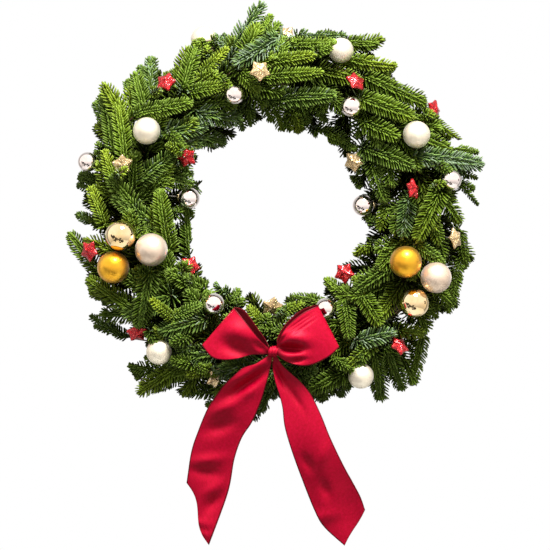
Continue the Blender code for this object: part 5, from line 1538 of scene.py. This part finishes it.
class Ornaments:
    """What the needles bend clear of: balls, stars and the back of the bow."""

    def __init__(self, bow_back):
        self.balls = [bauble_place(place)[:2] for place in BAUBLES]
        self.stars = [(place[0], star_place(place)[1]) for place in STARS]
        self.bow_back = bow_back

    def clear(self, points):
        for centre, ball in self.balls:
            away = points - centre
            distance = np.linalg.norm(away, axis=1)
            inside = distance < ball + BALL_CLEARANCE
            away[inside] /= np.maximum(distance[inside], 1e-6)[:, None]
            points[inside] = centre + away[inside] * (ball + BALL_CLEARANCE)
        for name, centre in self.stars:
            away = points - centre
            near = (np.hypot(away[:, 0], away[:, 2]) < STAR_REACH[0]) & (np.abs(away[:, 1]) < STAR_REACH[1])
            before = near & (away[:, 1] < STAR_FRONT) & (name in COVERED_STARS)
            points[near, 1] = centre[1] + BEHIND_STAR
            points[before, 1] = centre[1] - BEFORE_STAR
        return self.behind_bow(points)

    def behind_bow(self, points):
        low, high = self.bow_back.min(axis=0) - BOW_REACH, self.bow_back.max(axis=0) + BOW_REACH
        near = (points[:, 0] > low[0]) & (points[:, 0] < high[0])
        near &= (points[:, 2] > low[2]) & (points[:, 2] < high[2])
        near &= points[:, 1] < BACK_Y - BOW_NEAR_DEPTH
        index = np.nonzero(near)[0]
        flat = self.bow_back[:, (0, 2)]
        for chunk in np.array_split(index, max(1, len(index) // 2000)):
            if not len(chunk):
                continue
            gaps = points[chunk][:, None, (0, 2)] - flat[None]
            square = (gaps ** 2).sum(axis=2)
            nearest = square.argmin(axis=1)
            close = square[np.arange(len(chunk)), nearest] < BOW_REACH ** 2
            behind = self.bow_back[nearest, 1] + BEHIND_BOW
            wrong = close & (points[chunk, 1] < behind)
            points[chunk[wrong], 1] = behind[wrong]
        return points


def blade_faces(rings):
    """The triangles of one needle: rings of two edges and a keel, a tip, and a closed foot."""
    faces = [(0, 2, 1)]
    for ring in range(rings - 1):
        for corner in range(3):
            a = ring * 3 + corner
            b = ring * 3 + (corner + 1) % 3
            faces += [(a, b, b + 3), (a, b + 3, a + 3)]
    top = (rings - 1) * 3
    tip = rings * 3
    faces += [(top + corner, top + (corner + 1) % 3, tip) for corner in range(3)]
    return np.array(faces)


def blades(roots, first, last, lengths, faces_to, ornaments, tones, shape):
    """Needles that start along first and bend towards last, their flat side turned one way."""
    count = len(roots)
    shares = np.array([share for share, _ in shape] + [1.0])
    widths = np.array([width for _, width in shape])
    bend = (last - first) / 2
    centre = roots[:, None] + lengths[:, None, None] * (
        shares[None, :, None] * first[:, None] + shares[None, :, None] ** 2 * bend[:, None]
    )
    centre[:, 1:] = ornaments.clear(centre[:, 1:].reshape(-1, 3)).reshape(count, -1, 3)
    centre[..., 1] = np.minimum(centre[..., 1], BACK_Y - 1.0 * MM)
    run = units(np.gradient(centre, axis=1))
    thin = units(faces_to[:, None] - run * np.sum(run * faces_to[:, None], axis=2, keepdims=True))
    wide = np.cross(thin, run)
    rings = len(widths)
    half_width = (widths * NEEDLE_WIDTH / 2)[None, :, None]
    thickness = (widths * NEEDLE_THICKNESS)[None, :, None]
    corners = np.stack((
        centre[:, :rings] + wide[:, :rings] * half_width,
        centre[:, :rings] - wide[:, :rings] * half_width,
        centre[:, :rings] - thin[:, :rings] * thickness,
    ), axis=2).reshape(count, rings * 3, 3)
    points = np.concatenate((corners, centre[:, -1:]), axis=1)
    size = points.shape[1]
    faces = (blade_faces(rings)[None] + (np.arange(count) * size)[:, None, None]).reshape(-1, 3)
    tone = np.zeros((count, size, 4))
    tone[..., :2] = tones[:, None]
    tone[..., 2] = np.append(np.repeat(shares[:-1], 3), 1.0)[None]
    tone[:, 2:rings * 3:3, 3] = 1.0
    return points.reshape(-1, 3), faces, tone.reshape(-1, 4)


def grow_needles(path, bare, needle, fresh, spacing, ornaments, ranks=RANKS, dark=SUNK_PAINTED_SHADE):
    """Needles in ranks round a stem, spread wide at its sides, closing into a rounded tip."""
    line = resample(path, FINE_STEPS + 1)
    length = float(np.sum(np.linalg.norm(np.diff(line, axis=0), axis=1)))
    tangents = units(np.gradient(line, axis=0))
    per_rank = max(3, int((length - bare) / spacing))
    ranks = np.array(ranks, dtype=float)
    phase = np.arange(len(ranks))[:, None] * GOLDEN_SHARE % 1
    step = np.arange(per_rank)[None] + phase + rng.uniform(-0.13, 0.13, (len(ranks), per_rank))
    at = (bare + (length - bare) * step / per_rank).ravel()
    turn = np.repeat(ranks[:, 0], per_rank) + rng.uniform(-7, 7, at.size)
    size = np.repeat(ranks[:, 1], per_rank)
    sweep = np.repeat(ranks[:, 2], per_rank) + rng.uniform(-4, 4, at.size)
    # Painted shade of each rank, and none for the needles at the tip.
    rank_painted_shade = np.append(np.repeat(ranks[:, 3], per_rank), np.zeros(TIP_NEEDLES))
    at = np.append(at, rng.uniform(length - TIP_REACH, length, TIP_NEEDLES))
    turn = np.radians(np.append(turn, rng.uniform(-180, 180, TIP_NEEDLES)))
    size = np.append(size, np.full(TIP_NEEDLES, 0.95))
    sweep = np.append(sweep, rng.uniform(8, 62, TIP_NEEDLES))
    count = len(at)
    at = np.minimum(at, length)
    place = at / length * FINE_STEPS
    low = np.clip(place.astype(int), 0, FINE_STEPS - 1)
    part = (place - low)[:, None]
    root = line[low] * (1 - part) + line[low + 1] * part
    tangent = units(tangents[low] * (1 - part) + tangents[low + 1] * part)
    front = units(tangent * tangent[:, 1:2] + (0.0, -1.0, 0.0))
    aside = np.cross(tangent, front)
    outward = front * np.cos(turn)[:, None] + aside * np.sin(turn)[:, None]
    share = np.clip((at - bare) / (length - bare), 0, 1)
    sweep = np.radians(sweep * (1 - 0.22 * share ** 4))
    closing = sweep - math.radians(CLOSING)
    first = tangent * np.cos(sweep)[:, None] + outward * np.sin(sweep)[:, None]
    last = tangent * np.cos(closing)[:, None] + outward * np.sin(closing)[:, None]
    size = needle * size * (1 - 0.38 * share ** 4) * rng.uniform(0.9, 1.08, count)
    faces_to = 0.7 * outward + FACE_LEAN + rng.uniform(-0.2, 0.2, (count, 3))
    pale = PALE_SHARE * max(0.0, 1 - fresh / PALE_FRESHNESS)
    faces_to[rng.random(count) < pale] *= -1
    tips = root + size[:, None] * (first + last) / 2
    ramp = np.clip((share - 0.35) / 0.5, 0, 1)
    base = min(fresh, DEEP_GREEN + 0.5 * max(0.0, fresh - DEEP_GREEN))
    tone = base + (fresh - base) * ramp + rng.uniform(-0.06, 0.06, count)
    # Painted shade: needles sunk behind the foliage's front and on shaded ranks are darkened, besides a
    # random tone.
    radius, depth = ring_cylinder(tips)
    sunk = np.clip((dome_depth(radius) - depth) / SUNK_REACH, 0, 1)
    shade = 0.60 - dark * sunk - rank_painted_shade + rng.uniform(-0.2, 0.2, count)
    tones = np.clip(np.stack((tone, shade), axis=1), 0, 1)
    keep = needle_room(root, tips)
    deep = (rank_painted_shade > 0) | (sunk > DEEP_FROM)
    made = []
    for part, shape in ((keep & ~deep, NEEDLE_RINGS), (keep & deep, DEEP_NEEDLE_RINGS)):
        needles = (root[part], first[part], last[part], size[part], faces_to[part])
        if part.any():
            made.append(blades(*needles, ornaments, tones[part], shape))
    return made


def ring_cylinder(points):
    """The radius from the ring's centre and the depth from the wall of many points."""
    return np.hypot(points[:, 0], points[:, 2] + RING_DROP), BACK_Y - points[:, 1]


def dome_depth(radius):
    """How far from the wall the foliage's front lies at a radius, both in metres."""
    return np.interp(np.asarray(radius) / MM, DOME_RADII, DOME_DEPTHS) * MM


def picture_spot(across, down, lift):
    """The point that is seen at a pixel of the photograph, lift before the foliage's front."""
    x = (across - RING_PIXEL[0]) * PIXEL
    z = (RING_PIXEL[1] - down) * PIXEL
    return np.array((x, BACK_Y - dome_depth(math.hypot(x, z)) - lift, z - RING_DROP))


def in_bare_spots(points, margin=0):
    """Which points are seen inside a bare spot of the photograph, or as near to one as a margin."""
    across = RING_PIXEL[0] + points[:, 0] / PIXEL
    down = RING_PIXEL[1] - (points[:, 2] + RING_DROP) / PIXEL
    inside = np.zeros(len(points), dtype=bool)
    for x, y, radius in BARE_SPOTS:
        inside |= np.hypot(across - x, down - y) < radius + margin
    return inside


def before_bare_spots(path):
    """A stem cut short where it would come near a bare spot."""
    line = resample(path, 40)
    near = np.nonzero(in_bare_spots(line[KEPT_STEPS:], BARE_MARGIN))[0]
    return path if not len(near) else line[:KEPT_STEPS + max(1, near[0])]


def spray_paths(stems, ornaments):
    """The stems of the sprays on top, each with its bunch, its bare stretch and its table row."""
    joints = np.concatenate([resample(before_bare_spots(path), 30)[6:] for paths in stems for path in paths])
    owners = np.repeat(np.arange(len(stems)), [24 * len(paths) for paths in stems])
    found = []
    for spray in SPRAYS:
        foot = picture_spot(spray[0], spray[1], (spray[4] - SPRAY_FOOT) * MM)
        tip = picture_spot(spray[2], spray[3], spray[4] * MM)
        tip = tip - unit(tip - foot) * spray[5] * 0.55 * MM
        middle = (foot + tip) / 2 - (0, 2.5 * MM, 0)
        gaps = np.linalg.norm((joints - foot) * (1, 0.6, 1), axis=1)
        nearest = int(gaps.argmin())
        path = smooth_line([joints[nearest], foot, middle, tip], 6)
        path[1:] = ornaments.clear(path[1:].copy())
        bare = 0.5 * float(np.linalg.norm(foot - joints[nearest]))
        found.append((owners[nearest], keep_on_ring(path), bare, spray))
    return found


def needle_room(roots, tips):
    """Which needles stay out of the straw, the wall and the wreath's hole."""
    middle = (roots + tips) / 2
    keep = np.ones(len(roots), dtype=bool)
    for points, margin in ((middle, 0.5 * MM), (tips, 0.5 * MM)):
        radius = np.hypot(points[:, 0], points[:, 2] + RING_DROP)
        depth = BACK_Y - points[:, 1]
        offset = radius - RING_RADIUS
        keep &= (depth > straw_depth(offset) + margin) | (np.abs(offset) > 17 * MM)
        keep &= (radius > NEEDLE_HOLE_RADIUS) & (depth > 0.5 * MM)
    return keep & ~in_bare_spots(middle) & ~in_bare_spots(tips)


def stem_line(path):
    return resample(np.array(smooth_line(list(path), 2)), 22)


def twig_paths(path, bare, ornaments):
    """Short side twigs that spread from a finger, flat to the wall, and bend forward."""
    line = resample(path, FINE_STEPS + 1)
    length = float(np.sum(np.linalg.norm(np.diff(line, axis=0), axis=1)))
    tangents = units(np.gradient(line, axis=0))
    start_share = bare / length
    found = []
    for share, hand in TWIGS:
        at = int(FINE_STEPS * (start_share + (1 - start_share) * min(share + rng.uniform(-0.04, 0.04), 0.95)))
        forward = tangents[at]
        aside = unit(np.cross(forward, (0.0, 1.0, 0.0))) * hand
        rest = (length - length * at / FINE_STEPS) * rng.uniform(0.62, 0.82)
        reach = float(np.clip(rest, *TWIG_REACH))
        angle = math.radians(rng.uniform(40, 54))
        lean = np.array((0.0, rng.uniform(0.02, 0.32), 0.0))
        first = forward * math.cos(angle) + aside * math.sin(angle) + lean
        closing = angle - math.radians(CLOSING)
        last = forward * math.cos(closing) + aside * math.sin(closing) + lean
        t = np.linspace(0, 1, 9)[:, None]
        twig = line[at] + reach * (t * first + t * t * (last - first) / 2)
        twig[1:] = ornaments.clear(twig[1:].copy())
        found.append(keep_on_ring(twig))
    return found


def keep_on_ring(points):
    """Move points out of the wreath's hole and off the wall."""
    flat = points[:, (0, 2)] + (0, RING_DROP)
    radius = np.hypot(flat[:, 0], flat[:, 1])
    grow = np.maximum(1, (NEEDLE_HOLE_RADIUS + 8 * MM) / np.maximum(radius, 1e-6))
    points[:, 0] = flat[:, 0] * grow
    points[:, 2] = flat[:, 1] * grow - RING_DROP
    points[:, 1] = np.minimum(points[:, 1], BACK_Y - 6 * MM)
    return points


def make_bunch(number, paths, sprays, materials, ornaments):
    """A leader with its side shoots in bark, the sprays that grow from them, and their needles."""
    pile = Pile()
    for index, path in enumerate(paths):
        path = before_bare_spots(path)
        foot = STEM_RADIUS if index == 0 else SHOOT_RADIUS
        bare = LEADER_BARE if index == 0 else SHOOT_BARE
        line = stem_line(path)
        pile.add(*tube(line, np.linspace(foot, TIP_RADIUS, len(line)), 7), slot=1)
        fresh = FRESHNESS[number][index]
        full = RANKS + BACK_RANKS
        for needles in grow_needles(path, bare, NEEDLE_LENGTH, fresh, FINGER_SPACING, ornaments, full):
            pile.add(*needles)
        for twig in twig_paths(path, bare, ornaments):
            twig = before_bare_spots(twig)
            add_twig(pile, twig, TWIG_BARE, TWIG_NEEDLE_LENGTH, fresh, FINGER_SPACING, ornaments)
    for path, bare, spray in sprays:
        add_twig(pile, path, bare, spray[5] * MM, spray[6], SPRAY_SPACING, ornaments, SPRAY_PAINTED_SHADE)
    node = f"fir_bunch_{number + 1:02d}"
    bunch = pile.make(node + "_needles", [materials["needles"], materials["bark"]])
    settle_piece(bunch, "fir_green", node)


def add_twig(pile, path, bare, needle, fresh, spacing, ornaments, dark=SUNK_PAINTED_SHADE):
    pile.add(*tube(path, np.linspace(TWIG_RADIUS, 0.5 * TWIG_RADIUS, len(path)), 5), slot=1)
    for needles in grow_needles(path, bare, needle, fresh, spacing, ornaments, RANKS, dark):
        pile.add(*needles)


# Studio

def area_light(name, place, target, side, power, colour=(1, 1, 1)):
    data = bpy.data.lights.new(name, "AREA")
    data.shape = "DISK"
    data.size = side
    data.energy = power
    data.color = colour
    light = bpy.data.objects.new(name, data)
    bpy.context.scene.collection.objects.link(light)
    light.location = place
    light.rotation_mode = "QUATERNION"
    light.rotation_quaternion = (Vector(target) - Vector(place)).to_track_quat("-Z", "Y")
    light.visible_camera = False
    return light


def make_world():
    """A white room: brightest behind the wreath and overhead, dimmer in front and below."""
    world = bpy.data.worlds.new("white_room")
    world.use_nodes = True
    tree = world.node_tree
    place = tree.nodes.new("ShaderNodeTexCoord")
    split = tree.nodes.new("ShaderNodeSeparateXYZ")
    tree.links.new(place.outputs["Generated"], split.inputs[0])
    behind = tree.nodes.new("ShaderNodeMapRange")
    behind.inputs["From Min"].default_value = 0.2
    behind.inputs["From Max"].default_value = 0.9
    tree.links.new(split.outputs["Y"], behind.inputs["Value"])
    above = tree.nodes.new("ShaderNodeMapRange")
    above.inputs["From Min"].default_value = -0.5
    above.inputs["From Max"].default_value = 0.8
    above.inputs["To Min"].default_value = WORLD_LOW
    above.inputs["To Max"].default_value = WORLD_HIGH
    tree.links.new(split.outputs["Z"], above.inputs["Value"])
    largest = tree.nodes.new("ShaderNodeMath")
    largest.operation = "MAXIMUM"
    tree.links.new(behind.outputs[0], largest.inputs[0])
    tree.links.new(above.outputs[0], largest.inputs[1])
    background = tree.nodes["Background"]
    background.inputs["Color"].default_value = (1, 1, 1, 1)
    tree.links.new(largest.outputs[0], background.inputs["Strength"])
    return world


def reflection_only(made, material):
    """Something that only reflections see, as a real room has round its lights."""
    made.data.materials.append(material)
    made.visible_camera = False
    made.visible_diffuse = False
    made.visible_shadow = False


def dark_room(material):
    """People and furniture across the room, as rough dark patches that only mirrors show."""
    draw = np.random.default_rng(SEED)
    pile = Pile()
    middle = np.array(picture_centre())
    for swing, rise, distance, spread, count in DARK_CLUSTERS:
        for _ in range(count):
            turn, nod = np.radians((swing, rise) + draw.normal(0, spread, 2))
            way = np.array((math.cos(nod) * math.sin(turn), -math.cos(nod) * math.cos(turn), math.sin(nod)))
            aside = np.array((math.cos(turn), math.sin(turn), 0))
            up = np.cross(aside, way)
            reach = distance * draw.uniform(0.03, 0.17, (4, 2)) * ((-1, -1), (1, -1), (1, 1), (-1, 1))
            points = middle + way * distance + reach[:, :1] * aside + reach[:, 1:] * up
            pile.add(points, [(0, 1, 2), (0, 2, 3)])
    reflection_only(pile.make("dark_room", []), material)


def make_wall(material):
    """The wall some way behind the wreath, which keeps light out of the gaps from behind."""
    place = (0, WALL_GAP, -0.25)
    bpy.ops.mesh.primitive_plane_add(size=WALL_SIDE, location=place, rotation=(math.radians(90), 0, 0))
    wall = bpy.context.object
    wall.name = "wall"
    wall.data.materials.append(material)
    wall.visible_camera = False
    wall.visible_glossy = False


def bright_shell(material):
    """The pale walls and ceiling in front of the wreath, as a part of a sphere."""
    rows, columns = 13, 33
    rise = np.radians(np.linspace(SHELL_LOW, 88, rows))[:, None]
    swing = np.radians(np.linspace(-105, 105, columns))[None]
    points = SHELL_RADIUS * np.stack((
        np.cos(rise) * np.sin(swing), -np.cos(rise) * np.cos(swing), np.sin(rise) * np.ones_like(swing),
    ), axis=-1)
    pile = Pile()
    pile.add(points.reshape(-1, 3), grid_faces(rows, columns, False))
    reflection_only(pile.make("bright_shell", []), material)


def make_studio(materials):
    scene = bpy.context.scene
    scene.world = make_world()
    scene.view_settings.view_transform = "Standard"
    scene.view_settings.look = "None"
    middle = picture_centre()
    area_light("key", KEY_PLACE, middle, KEY_SIZE, KEY_POWER)
    bpy.ops.mesh.primitive_circle_add(vertices=64, radius=1.6, fill_type="NGON", location=(0, 0, -1.3))
    floor = bpy.context.object
    floor.name = "floor"
    floor.data.materials.append(materials["floor"])
    floor.visible_diffuse = False
    bright_shell(materials["bright_shell"])
    dark_room(materials["dark_card"])
    make_wall(materials["wall"])
    camera_data = bpy.data.cameras.new("camera")
    camera_data.sensor_width = SENSOR
    camera_data.lens = SENSOR * CAMERA_DISTANCE / (PICTURE_SIDE * PIXEL)
    camera = bpy.data.objects.new("camera", camera_data)
    scene.collection.objects.link(camera)
    camera.location = middle - Vector((0, CAMERA_DISTANCE, 0))
    camera.rotation_euler = (math.radians(90), 0, 0)
    scene.camera = camera


def picture_centre():
    """The point of the wreath that lies in the middle of the photograph."""
    half = PICTURE_SIDE / 2
    x = (half - RING_PIXEL[0]) * PIXEL
    z = (RING_PIXEL[1] - half) * PIXEL - RING_DROP
    return Vector((x, BACK_Y - 50 * MM, z))


def main():
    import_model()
    materials = make_materials()
    make_studio(materials)
    make_straw(materials)
    make_wires(materials)
    for place in BAUBLES:
        make_bauble(place, materials)
    for place in STARS:
        make_star(place, materials)
    bow_back = make_bow(materials)
    obstacles = Obstacles()
    fill_obstacles(obstacles)
    ornaments = Ornaments(bow_back)
    stems = place_stems(obstacles)
    sprays = spray_paths(stems, ornaments)
    for number, paths in enumerate(stems):
        own = [spray[1:] for spray in sprays if spray[0] == number]
        make_bunch(number, paths, own, materials, ornaments)


main()
